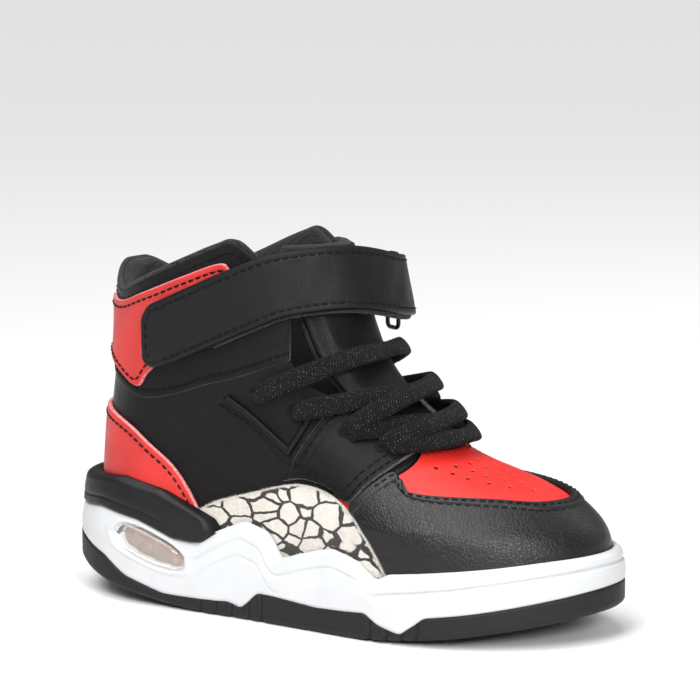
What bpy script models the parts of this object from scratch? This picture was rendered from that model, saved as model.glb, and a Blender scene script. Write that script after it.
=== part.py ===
"""Basketball high top for a child, a right shoe: sole, upper, laces and a doubled ankle strap.

Frame: metres in Blender, millimetres in this file's dimensions. +Y points to the toe, +X to the
outer (lateral) side of the foot, +Z up, with the ground at z = 0 under the middle of the shoe.

The upper is one smooth surface. A level t runs from the sole (0) to above the collar (1), and each
level is a loop round the foot: sigma is 0 at the front, +1 or -1 at the back, positive on the outer
side. Panels are patches of that surface, stacked outwards in layers with a small gap between them.
"""

import math

import bmesh
import bpy
import numpy as np
from mathutils import Vector

MM = 0.001
GAP = 0.35

# Driving dimensions, mm
LENGTH = 192.0
HALF = LENGTH / 2
LEATHER = 1.2
TOP_OF_BASE = 0.0
OVERLAY = (0.45, 0.45 + LEATHER)
TOE_OVERLAY = (0.8, 1.8)
STAY = (OVERLAY[1] + GAP, OVERLAY[1] + GAP + LEATHER)
BASE = (-LEATHER, TOP_OF_BASE)
STIFFENER = (-3.0, -2.1)
FOAM = (-3.2, -1.7)
LINING = (-4.9, -4.1)
TONGUE_FACE = (-2.8, -1.8)
TONGUE_FOAM = (-5.4, -3.2)
TONGUE_LINING = (-6.8, -5.9)
CUP_CLEARANCE = OVERLAY[1] + 0.6
UPPER_START = 0.03

# Side profile of the upper, as (y, z) from the sole up
BACK = [(-83, 18), (-86.3, 34), (-85.5, 52), (-83, 75), (-81, 98), (-80.5, 117)]
FRONT = [
    (88, 14), (90, 24), (88, 32), (81, 39.5), (73, 44), (65, 47), (55, 50), (44, 54.5),
    (34, 61), (24, 71), (16, 80), (11, 90), (7, 101), (4, 112), (1, 123),
]

# Height of the outsole's side wall along the shoe, with its two teeth
WALL = [
    (-96, 8), (-84, 9), (-72, 8.5), (-63, 5), (-48, 3.2), (-33, 4.4), (-22, 5), (-17.3, 3.5),
    (-10.6, 9.3), (-3, 9), (12, 7.8), (31, 8.4), (36, 5), (43.3, 2.2), (48.7, 5.5), (51, 7.2),
    (65, 7.2), (80, 7.4), (96, 7.6),
]
# Top edge of the light midsole: under the heel block, a hump, a valley, a hump and the toe wall
CUP_TOP = [
    (-96, 28.8), (-85, 29.2), (-75, 30.2), (-59, 27.7), (-44, 23), (-35, 22.5), (-28, 27), (-24.9, 28.3),
    (-18.3, 31), (-10.5, 28.7), (-6, 21.5), (-2.9, 21), (5, 23.5), (12.3, 25.5), (18, 26.5),
    (27.6, 24), (35, 18.8), (39.3, 21), (54.2, 22.6), (70.7, 24.4), (85, 26.2), (96, 27.0),
]
BLOCK_TOP = [(-96, 39), (-85, 39.5), (-75, 40.5), (-69, 40.8), (-51.3, 37.8), (-36.6, 32.2), (-28, 28.6)]
BLOCK_FRONT = -29.0
LEVELS = 201


def smooth(points, count=LEVELS):
    """A Catmull-Rom curve through the points, with count points spaced evenly along it."""
    ends = np.array(points, float)
    ends = np.vstack([2 * ends[0] - ends[1], ends, 2 * ends[-1] - ends[-2]])
    out = []
    for a, b, c, d in zip(ends, ends[1:], ends[2:], ends[3:]):
        u = np.linspace(0, 1, 24, endpoint=False)[:, None]
        bend = (2 * a - 5 * b + 4 * c - d) * u**2 + (3 * b - a - 3 * c + d) * u**3
        out.append(0.5 * (2 * b + (c - a) * u + bend))
    dense = np.vstack(out + [ends[-2:-1]])
    length = np.r_[0, np.cumsum(np.linalg.norm(np.diff(dense, axis=0), axis=1))]
    even = np.linspace(0, length[-1], count)
    return np.stack([np.interp(even, length, column) for column in dense.T], 1)


BACK_CURVE, FRONT_CURVE = smooth(BACK), smooth(FRONT)


def on_curve(curve, t):
    step = np.clip(t, 0, 1) * (LEVELS - 1)
    return np.stack([np.interp(step, range(LEVELS), column) for column in curve.T], -1)


def table(rows, x):
    return np.interp(x, [row[0] for row in rows], [row[1] for row in rows])


def round_end(q):
    """Rises from 0 to 1 along a quarter of an ellipse."""
    return np.sqrt(np.clip(1 - (1 - np.clip(q, 0, 1)) ** 2, 0, 1))


def ease(x, start, end):
    u = np.clip((x - start) / (end - start), 0, 1)
    return u * u * (3 - 2 * u)


def half_width(y, z, side):
    """Half the upper's width at a place in the side view."""
    medial = side < 0
    heel = 27.6 - 1.4 * ease(z, 30, 80) + 3.2 * ease(z, 85, 112)
    waist = 28.8 - 2.2 * ease(z, 25, 70) - 1.0 * medial
    fore = table([(12, 33.8), (22, 35), (34, 34.3), (44, 31), (50, 29.5), (60, 27.5), (70, 26), (90, 24.5), (118, 24)], z)
    front = ease(y, -10, 34)
    back = 1 - ease(y, -60, -20)
    return heel * back + (1 - back) * (waist * (1 - front) + (fore - medial) * front)


def centre(y):
    """The middle line swings inwards towards the toe."""
    return -4.0 * np.clip((y - 5) / 85, 0, 1) ** 2


def surface(sigma, t):
    """Points of the upper's surface."""
    sigma, t = np.broadcast_arrays(np.asarray(sigma, float), np.asarray(t, float))
    sigma = (sigma + 1) % 2 - 1
    back, front = on_curve(BACK_CURVE, t), on_curve(FRONT_CURVE, t)
    length = np.linalg.norm(back - front, axis=-1)
    u = (1 - np.cos(math.pi * np.abs(sigma))) / 2
    y, z = np.moveaxis(front + (back - front) * u[..., None], -1, 0)
    side = np.where(sigma < 0, -1.0, 1.0)
    nose = np.interp(t, [0, 0.12, 0.3, 0.5, 0.7, 1], [50, 50, 62, 56, 34, 27])
    x = side * half_width(y, z, side) * round_end(length * u / nose) * round_end(length * (1 - u) / 30)
    return np.stack([x + centre(y), y, z], -1)


def upper(sigma, t, off=0.0):
    """Points at a distance outside the upper's surface."""
    sigma, t = np.broadcast_arrays(np.asarray(sigma, float), np.asarray(t, float))
    h = 0.012
    along = surface(sigma + h, t) - surface(sigma - h, t)
    low, high = np.clip(t - h, 0, 1), np.clip(t + h, 0, 1)
    normal = np.cross(surface(sigma, high) - surface(sigma, low), along)
    normal /= np.linalg.norm(normal, axis=-1, keepdims=True)
    return surface(sigma, t) + normal * np.asarray(off, float)[..., None]


def from_side(y, z):
    """(sigma, t) of a place in the side view."""
    y, z = np.asarray(y, float), np.asarray(z, float)
    low, high = np.zeros(y.shape), np.ones(y.shape)
    for _ in range(30):
        t = (low + high) / 2
        back, front = on_curve(BACK_CURVE, t), on_curve(FRONT_CURVE, t)
        line = front - back
        above = line[..., 0] * (z - back[..., 1]) - line[..., 1] * (y - back[..., 0]) > 0
        low, high = np.where(above, t, low), np.where(above, high, t)
    u = 1 - ((y - back[..., 0]) * line[..., 0] + (z - back[..., 1]) * line[..., 1]) / (line**2).sum(-1)
    return np.stack([np.arccos(1 - 2 * np.clip(u, 0, 1)) / math.pi, t], -1)


def edge(points, count, side=1, back=None):
    """A panel edge drawn in the side view, as (sigma, t) points on one side of the shoe.

    With back, the edge starts at that sigma, by the seam down the heel.
    """
    flat = from_side(*smooth(points, 120).T)
    if back is not None:
        flat = np.vstack([[back, flat[0, 1]], flat[flat[:, 0] < back - 0.01]])
    step = np.linalg.norm(np.diff(flat * [1, 0.7], axis=0), axis=1)
    length = np.r_[0, np.cumsum(step)]
    even = np.linspace(0, length[-1], count)
    flat = np.stack([np.interp(even, length, column) for column in flat.T], 1)
    flat[:, 0] *= side
    return flat


def level(t, start, end, count):
    """A level line of the upper between two sigmas."""
    return np.stack([np.linspace(start, end, count), np.full(count, t)], 1)


# ---------------------------------------------------------------- meshes

def material(name, colour, roughness, metallic=0.0, alpha=1.0):
    mat = bpy.data.materials.new(name)
    mat.use_nodes = True
    shader = mat.node_tree.nodes["Principled BSDF"]
    shader.inputs["Base Color"].default_value = (*colour, 1)
    shader.inputs["Roughness"].default_value = roughness
    shader.inputs["Metallic"].default_value = metallic
    shader.inputs["Alpha"].default_value = alpha
    return mat


def add(name, points, faces, mat, merge=False):
    """A closed mesh as a named object, with its faces pointing out."""
    bm = bmesh.new()
    verts = [bm.verts.new(Vector(point) * MM) for point in points]
    for face in faces:
        bm.faces.new([verts[i] for i in face])
    if merge:
        bmesh.ops.remove_doubles(bm, verts=bm.verts, dist=2e-6)
        bmesh.ops.dissolve_degenerate(bm, edges=bm.edges, dist=1e-7)
    bmesh.ops.recalc_face_normals(bm, faces=bm.faces)
    mesh = bpy.data.meshes.new(name)
    bm.to_mesh(mesh)
    bm.free()
    mesh.materials.append(mat)
    mesh.shade_smooth()
    mesh.set_sharp_from_angle(angle=math.radians(40))
    obj = bpy.data.objects.new(name, mesh)
    bpy.context.scene.collection.objects.link(obj)
    return obj


def slab(name, inner, outer, mat):
    """Two grids of the same shape, joined round their rims into one closed sheet."""
    rows, columns = inner.shape[:2]
    size = rows * columns

    def at(i, j, top):
        return top * size + i * columns + j

    faces = []
    for i in range(rows - 1):
        for j in range(columns - 1):
            quad = [(i, j), (i, j + 1), (i + 1, j + 1), (i + 1, j)]
            faces += [[at(a, b, 1) for a, b in quad], [at(a, b, 0) for a, b in reversed(quad)]]
    rim = [(0, j) for j in range(columns)] + [(i, columns - 1) for i in range(1, rows)]
    rim += [(rows - 1, j) for j in range(columns - 2, -1, -1)] + [(i, 0) for i in range(rows - 2, 0, -1)]
    for (a, b), (c, d) in zip(rim, rim[1:] + rim[:1]):
        faces.append([at(a, b, 0), at(c, d, 0), at(c, d, 1), at(a, b, 1)])
    return add(name, np.vstack([inner.reshape(-1, 3), outer.reshape(-1, 3)]), faces, mat)


def panel(name, lower, upper_edge, rows, layer, mat):
    """A patch of the upper between two edges with the same number of points."""
    share = np.linspace(0, 1, rows + 1)[:, None, None]
    grid = lower[None] * (1 - share) + upper_edge[None] * share
    inner, outer = (upper(grid[..., 0], grid[..., 1], off) for off in layer)
    return slab(name, inner, outer, mat)


def loft(name, rings, mat, ends="cap", merge=False):
    """Closed rings with the same number of points, joined in order."""
    rings = [np.array(ring) for ring in rings]
    count, size = len(rings), len(rings[0])
    faces = []
    for i in range(count - 1 if ends != "loop" else count):
        for k in range(size):
            a, b = i * size, ((i + 1) % count) * size
            faces.append([a + k, a + (k + 1) % size, b + (k + 1) % size, b + k])
    if ends == "cap":
        faces += [list(range(size))[::-1], list(range((count - 1) * size, count * size))]
    return add(name, np.vstack(rings), faces, mat, merge)


# ---------------------------------------------------------------- sole

def ground(y):
    """The tread: flat in the middle, curling up at the heel and the toe."""
    toe = 10 * np.clip((y - 20) / 76, 0, 1) ** 1.8
    heel = 13 * np.clip((-25 - y) / 71, 0, 1) ** 1.9
    return toe + heel


def outline(sigma, z_inset):
    """The sole's side at a sigma, moved inwards by an inset."""
    u = (1 - math.cos(math.pi * abs(sigma))) / 2
    y = HALF * (1 - 2 * u)
    if sigma >= 0:
        width = table([(-96, 33.5), (-60, 33.5), (-20, 33.8), (10, 36.6), (35, 39.6), (60, 39.0), (96, 36)], y)
    else:
        width = -table([(-96, 33.5), (-60, 33.2), (-20, 32.6), (10, 35.6), (40, 38.8), (65, 38.8), (96, 37)], y)
    x = width * round_end((y + HALF) / 36) * round_end((HALF - y) / 57)
    return x * (1 - z_inset / 37) + centre(y), y * (1 - z_inset / HALF), y


def floor_plane(y):
    """Height of the footbed's support, between the ends of the upper's lowest level."""
    (y0, z0), (y1, z1) = BACK[0], FRONT[0]
    return z0 + (z1 - z0) * (y - y0) / (y1 - y0)


def upper_at_height(sigma, z, off):
    """The point outside the upper at a sigma and a height."""
    low, high = 0.0, 1.0
    for _ in range(24):
        t = (low + high) / 2
        if surface(sigma, t)[2] < z:
            low = t
        else:
            high = t
    point = upper(sigma, t, off)
    return np.array([point[0], point[1], z])


def stations(count):
    return [i / count for i in range(count + 1)]


SEAT = 0.93
SEAT_THICK = 2.4


def seat_height(y, top):
    """The outsole's upper face inside its rim, which is low enough for the footbed above it."""
    return min(top - 0.05, float(ground(y * SEAT)) + SEAT_THICK)


def make_outsole(mat):
    rings = []
    for s in stations(44):
        ring = []
        for side in (1, -1):
            x, y, along = outline(side * s, 0.0)
            bottom, top = float(ground(along)), float(ground(along) + table(WALL, along))
            half = [(x * 0.9, y * 0.985, bottom), (x, y, bottom + 1.6), (x, y, top)]
            half += [(x * SEAT, y * SEAT, top), (x * SEAT, y * SEAT, seat_height(y, top))]
            ring += half if side > 0 else half[::-1]
        rings.append(ring)
    return loft("outsole", rings, mat, ends="open", merge=True)


def make_midsole(mat):
    rings = []
    for s in stations(44):
        ring = []
        for side in (1, -1):
            along = outline(side * s, 0)[2]
            bottom = float(ground(along) + table(WALL, along)) + GAP
            top = float(table(CUP_TOP, along))
            x, y, _ = outline(side * s, 0)
            inner = seat_height(y, bottom - GAP) + GAP
            half = [(x * (SEAT - 0.012), y * (SEAT - 0.012), inner), (x * (SEAT - 0.012), y * (SEAT - 0.012), bottom)]
            for share, inset in ((0, 0.2), (0.4, 0.1), (0.8, 0.7), (0.97, 1.1)):
                x, y, _ = outline(side * s, inset)
                half.append((x, y, bottom + share * (top - bottom)))
            rim = upper_at_height(side * s, top, CUP_CLEARANCE)
            half.append(tuple(rim))
            foot = floor_plane(rim[1]) - 1.6
            for share in (0.33, 0.67, 1.0):
                half.append(tuple(upper_at_height(side * s, top + share * (foot - top), CUP_CLEARANCE)))
            ring += half if side > 0 else half[::-1]
        rings.append(ring)
    return loft("midsole", rings, mat, ends="open", merge=True)


def make_heel_block(mat):
    """A band round the heel on top of the midsole, running out to a point on each side."""
    start = math.acos(BLOCK_FRONT / HALF) / math.pi
    rings = []
    for s in np.linspace(start, 2 - start, 41):
        sigma = s if s <= 1 else s - 2
        along = outline(sigma, 0)[2]
        bottom = float(table(CUP_TOP, along)) + 2 * GAP
        top = max(float(table(BLOCK_TOP, along)), bottom + 0.8)
        ring = []
        slope = 0.25 + 0.75 * float(ease(-along, 34, 60))
        for share, inset in ((0, 0.8), (0.5, 1.2), (0.9, 1.9), (1.0, 2.6)):
            x, y, _ = outline(sigma, inset * slope)
            ring.append((x, y, bottom + share * (top - bottom)))
        for share in (1.0, 0.5, 0):
            ring.append(tuple(upper_at_height(sigma, bottom + share * (top - bottom), CUP_CLEARANCE)))
        rings.append(ring)
    return loft("heel_block", rings, mat)


def footbed(name, low, high, off, mat, count=28):
    """A slab that lies on the sloping floor inside the upper."""
    rings = []
    for s in stations(count):
        ring = []
        for side in (1, -1):
            x, y, _ = upper(side * s, 0.02, off)
            half = [(x, y, floor_plane(y) + low), (x, y, floor_plane(y) + high)]
            ring += half if side > 0 else half[::-1]
        rings.append(ring)
    return loft(name, rings, mat, ends="open", merge=True)


WINDOW = [
    (-68, 22.8), (-64.5, 25.8), (-59, 25.8), (-52, 23.8), (-45.5, 21.4), (-40.3, 18.2), (-39.6, 14.2), (-43, 12.6),
    (-51, 13.4), (-59, 15.8), (-65.5, 18.8),
]
POCKET_FLOOR = 31.3


def window_outline(grow, count=20):
    middle = np.mean(WINDOW, axis=0)
    ring = smooth(WINDOW + WINDOW[:1], count + 1)[:-1]
    return middle + (ring - middle) * (1 + grow)


def make_windows(midsole, clear):
    """A recess in each side of the heel, and the clear insert that fills it."""
    for side, name in ((1, "lateral"), (-1, "medial")):
        rings = []
        for x in (POCKET_FLOOR, 40):
            rings.append([(side * x, y, z) for y, z in window_outline(0.0)])
        cutter = loft("cutter_" + name, rings, clear)
        cutter.hide_render = True
        cutter.display_type = "WIRE"
        cut = midsole.modifiers.new("window_" + name, "BOOLEAN")
        cut.operation = "DIFFERENCE"
        cut.solver = "EXACT"
        cut.object = cutter
        rings = []
        for x, grow in ((POCKET_FLOOR + GAP, -0.1), (32.4, -0.1), (33.0, -0.25), (33.4, -0.5)):
            rings.append([(side * x, y, z) for y, z in window_outline(grow)])
        loft("air_window_" + name, rings, clear)


# ---------------------------------------------------------------- upper

THROAT = [(-14, 112), (-7, 104), (-5, 94), (-5, 84), (0, 76.5), (9, 71.5), (20, 66), (30, 61), (35.5, 57)]
COLLAR_TOP = [(-80.2, 108), (-76, 103.5), (-69, 101), (-58, 105), (-42, 112), (-30, 117), (-23, 118.5), (-14, 112)]
COLLAR_SEAM = [(-82.5, 77), (-72, 71.5), (-60, 67.8), (-48, 69.5), (-36, 73.5), (-22, 77.5), (-5, 84)]


def make_base_layer(mats):
    for side, name in ((1, "lateral"), (-1, "medial")):
        back = 0.955 * side
        # Quarter: from the back seam to the eyestay, up to the collar seam and the throat
        top = np.vstack([edge(COLLAR_SEAM, 14, side, 0.955)[:-1], edge(THROAT[3:], 8, side)])
        low = level(UPPER_START, back, from_side(np.array([9.0]), np.array([17.0]))[0, 0] * side, len(top))
        panel("quarter_" + name, low, top, 8, BASE, mats["black"])
        # Collar panel: above the seam
        seam = edge(COLLAR_SEAM, 18, side, 0.955)
        seam[:, 1] += 0.006
        rim = edge(COLLAR_TOP, 15, side, 0.955)
        front = edge([(-14, 112), (-9, 107), (-6.5, 100), (-5, 92)], 4, side)
        rim = np.vstack([rim, front[1:]])
        panel("collar_panel_" + name, seam, rim, 4, BASE, mats["black"])
    half = np.array([(9.7, 17.0), (36.8, 56.0)])
    # Vamp: over the toes, from one quarter to the other
    count = 19
    low = level(UPPER_START, 0, 0, count)
    start = from_side(half[:, 0], half[:, 1])
    top_t = start[-1, 1]
    low[:, 0] = np.linspace(start[0, 0] - 0.004, -start[0, 0] + 0.004, count)
    high = level(top_t, start[-1, 0], -start[-1, 0], count)
    panel("vamp", low, high, 7, BASE, mats["red"])


def make_overlays(mats):
    for side, name in ((1, "lateral"), (-1, "medial")):
        # Red heel overlay: a curved triangle from the back seam down to the side panel
        top = edge([(-86, 63), (-66, 58), (-54, 51), (-46, 45.5), (-39.4, 38), (-33.5, 28.5), (-30, 20.2)], 15, side, 0.965)
        low = level(UPPER_START, 0.965 * side, top[-1, 0], 15)
        panel("heel_overlay_" + name, low, top, 5, OVERLAY, mats["red"])
        # Suede side panel, between the heel overlay and the toe cap
        top = edge([(-35.6, 33.0), (-28, 36.6), (-16, 40.2), (-5, 43.4), (4, 44.6), (14, 42.8), (22.8, 38), (30, 31), (37, 20.5), (38, 17.6)], 17, side)
        low = level(UPPER_START, from_side(np.array([-29.4]), np.array([19.0]))[0, 0] * side, top[-1, 0], 17)
        panel("side_panel_" + name, low, top, 6, OVERLAY, mats["suede"])
        # Eyestay: carries the lower eyelets, from the suede panel up to the throat
        low = edge([(-4.0, 44.9), (4, 46.2), (14, 44.4), (21.5, 40.8), (26.5, 46.2), (32, 51.5), (36.2, 56)], 12, side)
        high = edge([(-1, 50), (3, 58), (8, 66.2), (14, 68.5), (22, 64.8), (30, 60.6), (35, 57.6)], 12, side)
        panel("eyestay_" + name, low, high, 4, OVERLAY, mats["black"])
        # Red collar overlay: from the back seam forwards along the topline, with a tail below
        high = edge([(-79.8, 98.5), (-69, 97.5), (-58, 101), (-42, 107.2), (-28, 112), (-24, 109.5)], 15, side, 0.965)
        low = edge([(-82.4, 79.8), (-70, 74.2), (-61, 70.2), (-56.5, 75), (-50, 79.5), (-38, 86), (-24.5, 106)], 15, side, 0.965)
        panel("collar_overlay_" + name, low, high, 4, OVERLAY, mats["red"])
        # Lace wing: a raised narrow V that frames the upper eyelets
        low = edge([(-28, 68.5), (-16, 62), (-4, 53.4), (-1.2, 55), (4.5, 66.0)], 10, side)
        high = edge([(-26, 70.3), (-15, 64), (-4, 56.4), (-2.4, 57.4), (2.6, 67.6)], 10, side)
        panel("lace_wing_" + name, low, high, 1, OVERLAY, mats["black"])
    # Toe cap: round the toe under the vamp, with an arm back to the side panel on each side
    outer = [(21.9, 40.0), (27.2, 45.6), (32.6, 49.8), (36, 45.6), (44, 44.0), (54, 43.4), (64, 42.8), (74, 41.6)]
    lateral = edge(outer, 15, 1)
    front_t = from_side(np.array([79.0]), np.array([41.0]))[0, 1]
    lateral = np.vstack([lateral, [[0.06, (lateral[-1, 1] + front_t) / 2], [0, front_t]]])
    high = np.vstack([lateral, (lateral * [-1, 1])[::-1][1:]])
    low_side = edge([(22.9, 38.6), (30.6, 31), (37.6, 20.5), (38.8, 17.6)], 6, 1)
    run = level(UPPER_START, low_side[-1, 0], 0, 12)
    low_half = np.vstack([low_side, run[1:]])
    low = np.vstack([low_half, (low_half * [-1, 1])[::-1][1:]])
    panel("toe_cap", low, high, 6, TOE_OVERLAY, mats["black"])


def make_back_stay(mat):
    """The strip up the back seam, which stands above the topline as a pull tab."""
    count = 15
    centre_t = np.linspace(0.3, 0.925, count)
    left = np.stack([np.full(count, 0.972), centre_t], 1)
    right = np.stack([np.full(count, 1.028), centre_t], 1)
    panel("back_stay", left, right, 4, STAY, mat)


def make_inner_layers(mats):
    fore = 0.42
    count = 19
    throat = from_side(np.array([35.0]), np.array([57.0]))[0]
    panel("toe_puff", level(UPPER_START, fore * 0.62, -fore * 0.62, 17), level(0.24, 0.2, -0.2, 17), 4, STIFFENER, mats["board"])
    panel("vamp_lining", level(UPPER_START, fore, -fore, count), level(throat[1], throat[0], -throat[0], count), 5, LINING, mats["lining"])
    panel("heel_counter", level(UPPER_START, 0.66, 1.34, 21), level(0.46, 0.74, 1.26, 21), 3, STIFFENER, mats["board"])
    lows, highs = [], []
    for side in (1, -1):
        rim = edge(COLLAR_TOP, 13, side, 0.985)[::-1]
        front = edge([(24, 59), (14, 64), (4, 69), (-6, 76), (-11, 86), (-13, 97), (-15, 106)], 9, side)
        high = np.vstack([front, rim[1:]])
        low = level(UPPER_START, (fore + 0.006) * side, 1.0 * side, len(high))
        if side < 0:
            low[:, 0] += 2
            high[:, 0] += 2
            low, high = low[::-1], high[::-1]
        else:
            low, high = low[:-1], high[:-1]
        lows.append(low)
        highs.append(high)
    panel("quarter_lining", np.vstack(lows), np.vstack(highs), 5, LINING, mats["lining"])
    # Collar foam: the padded band under the topline, one roll from throat to throat
    lows, highs = [], []
    for side in (1, -1):
        rim = [(-80.2, 105.5), (-76, 101.5), (-69, 99), (-58, 103), (-43, 109.5), (-31, 114.6), (-24, 116), (-17, 109)]
        rim = edge(rim, 15, side, 0.985)[::-1]
        seam = [(-82.5, 79), (-72, 73.5), (-60, 70), (-48, 71.5), (-36, 75.5), (-22, 79), (-12, 82)]
        seam = edge(seam, 15, side, 0.985)[::-1]
        for line in (rim, seam):
            if side < 0:
                line[:, 0] += 2
        lows.append(seam if side > 0 else seam[::-1])
        highs.append(rim if side > 0 else rim[::-1])
    panel("collar_foam", np.vstack(lows), np.vstack(highs), 3, FOAM, mats["foam"])


TONGUE_TOP_T = 0.985
TONGUE_HALF = [(0, 0.2), (0.35, 0.22), (0.75, 0.235), (0.93, 0.21), (1, 0.13)]


def make_tongue(mats):
    count, rows = 9, 10
    throat = from_side(np.array([35.0]), np.array([57.0]))[0, 1]
    for name, layer, base, trim, mat in (
        ("tongue_face", TONGUE_FACE, throat + 0.005, 0.0, "black"),
        ("tongue_foam", TONGUE_FOAM, throat + 0.02, 0.016, "foam"),
        ("tongue_lining", TONGUE_LINING, throat + 0.015, 0.008, "lining"),
    ):
        share = np.linspace(0, 1, rows)
        t = base + (TONGUE_TOP_T - trim - base) * share
        half = table(TONGUE_HALF, share) - trim
        sigma = half[:, None] * np.linspace(1, -1, count)[None]
        grid_t = np.repeat(t[:, None], count, 1)
        inner, outer = (upper(sigma, grid_t, off) for off in layer)
        slab(name, inner, outer, mats[mat])


# Eyelets on each side, from the ankle down, in the side view, and how high each lace row arches
EYELETS = [(-14.8, 71.2), (-1.6, 66.9), (15.2, 60.8), (27.0, 56.2)]
LACE_WIDE, LACE_THICK = 6.4, 3.0
LACE_CREST = [(13.0, 83.0), (20.5, 74.5), (31.5, 63.5), (41.0, 56.5)]


def lace_route(index):
    """One row of the lace: out of an eyelet, over the tongue and into the opposite one."""
    y, z = EYELETS[index]
    sigma, t = from_side(np.array([y]), np.array([z]))[0]
    crest = from_side(np.array([LACE_CREST[index][0]]), np.array([LACE_CREST[index][1]]))[0, 1]
    points = []
    for q in np.linspace(-1, 1, 12):
        lift = 3.6 + 1.6 * (1 - q * q)
        level_t = crest + (t - crest) * abs(q) ** 2.2
        points.append(upper(-sigma * q, level_t, lift))
    return points


def flat_tube(name, points, wide, thick, mat, sides=8):
    """An oval band along a route, lying flat on the shoe."""
    points = [Vector(point) for point in points]
    rings = []
    for i, point in enumerate(points):
        along = (points[min(i + 1, len(points) - 1)] - points[max(i - 1, 0)]).normalized()
        outward = Vector((point.x * 1.4, 6.0 + 0.3 * abs(point.x), 12.0)).normalized()
        across = along.cross(outward).normalized()
        outward = across.cross(along).normalized()
        ring = []
        for k in range(sides):
            angle = 2 * math.pi * k / sides
            ring.append(point + across * (wide / 2 * math.cos(angle)) + outward * (thick / 2 * math.sin(angle)))
        rings.append(np.array(ring))
    return loft(name, rings, mat)


# ---------------------------------------------------------------- strap

STRAP_WIDE = 20.0
# Middle line of the outer strap, from the ring at the inner side round the front to the tip
STRAP_PATH = [
    (-27.5, 6.5, 101.6), (-22.5, 11.4, 102.7), (-12, 14.2, 104.2), (0, 14.0, 106.7), (11, 10.6, 108.3),
    (20.5, 3.0, 108.0), (28.2, -8, 105.8), (32.2, -20, 100.8), (34.0, -34, 94.6), (34.0, -46, 89.5), (33.4, -54.5, 86.8),
]
STRAP_SPLIT = 0.545
RING_AXIS = (-29.6, 3.6)
RING_HALF = 12.4
WIRE = 0.75


def strap_frame(start, end, count):
    path = smooth(STRAP_PATH, 161)
    at = np.linspace(start, end, count) * 160
    points = np.stack([np.interp(at, range(161), column) for column in path.T], 1)
    ahead = np.stack([np.interp(np.clip(at + 2, 0, 160), range(161), column) for column in path.T], 1)
    behind = np.stack([np.interp(np.clip(at - 2, 0, 160), range(161), column) for column in path.T], 1)
    along = ahead - behind
    along /= np.linalg.norm(along, axis=1, keepdims=True)
    lean = np.stack([0.07 * ease(-points[:, 1], 5, 30), -0.24 * np.clip((points[:, 1] + 20) / 34, 0, 1), np.ones(count)], 1)
    up = lean - along * (lean * along).sum(1, keepdims=True)
    up /= np.linalg.norm(up, axis=1, keepdims=True)
    out = np.cross(up, along)
    return points, out, up


def strap_piece(name, start, end, inner, outer, mat, count, tip=False, wide=STRAP_WIDE):
    points, out, up = strap_frame(start, end, count)
    across = np.linspace(-0.5, 0.5, 5)
    width = np.full(count, wide)
    if tip:
        for k, keep in ((-1, 0.56), (-2, 0.86)):
            width[k] *= keep
    sides = []
    for off in (inner, outer):
        sides.append(points[:, None] + out[:, None] * off + up[:, None] * (across[None, :, None] * width[:, None, None]))
    return slab(name, sides[0], sides[1], mat)


def make_strap(mats):
    strap_piece("strap_front", 0.0, STRAP_SPLIT, -0.8, 0.8, mats["black"], 15)
    strap_piece("strap_tip", STRAP_SPLIT + 0.004, 1.0, -0.8, 0.8, mats["black"], 13, tip=True)
    strap_piece("strap_base", 0.06, 0.80, -2.6, -1.15, mats["loop"], 19, wide=STRAP_WIDE - 1.5)
    strap_piece("hook_patch", 0.83, 0.975, -1.9, -1.15, mats["loop"], 6, wide=STRAP_WIDE - 6)
    # Wire ring: a tall loop whose front bar carries the strap
    ring = []
    half_gap = 3.2
    corner = 1.6
    direction = Vector((-0.45, -0.9, 0)).normalized()
    front = Vector((*RING_AXIS, 101.8))
    for dx, dz, first in ((0, 1, 180), (1, 1, 90), (1, -1, 0), (0, -1, -90)):
        middle = front + direction * (corner if dx == 0 else 2 * half_gap - corner) + Vector((0, 0, dz * (RING_HALF - corner)))
        for step in range(4):
            angle = math.radians(first - 30 * step)
            ring.append(middle + direction * (corner * math.cos(angle)) + Vector((0, 0, corner * math.sin(angle))))
    rings = []
    side = direction.cross(Vector((0, 0, 1)))
    for i, point in enumerate(ring):
        along = (ring[(i + 1) % len(ring)] - ring[i - 1]).normalized()
        across = side.cross(along).normalized()
        rings.append(np.array([point + side * (WIRE * math.cos(a)) + across * (WIRE * math.sin(a)) for a in [k * math.pi / 3 for k in range(6)]]))
    loft("strap_ring", rings, mats["metal"], ends="loop")
    # Tab: the leather loop that holds the ring's back bar to the collar
    back = front + direction * (2 * half_gap)
    radius = WIRE + 0.3
    profile_in, profile_out = [], []
    for k in range(7):
        angle = math.radians(-90 + 30 * k)
        away = direction * -math.cos(angle)
        profile_in.append(back + away * radius + side * (radius * math.sin(angle)))
        profile_out.append(back + away * (radius + 0.9) + side * ((radius + 0.9) * math.sin(angle)))
    tail = direction * 9.0
    profile_in = [profile_in[0] + tail] + profile_in + [profile_in[-1] + tail]
    profile_out = [profile_out[0] + tail] + profile_out + [profile_out[-1] + tail]
    rows = []
    for profile in (profile_in, profile_out):
        rows.append(np.array([[point + Vector((0, 0, z)) for point in profile] for z in (-9.0, 0.0, 9.0)]))
    slab("ring_tab", rows[0], rows[1], mats["black"])


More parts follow.
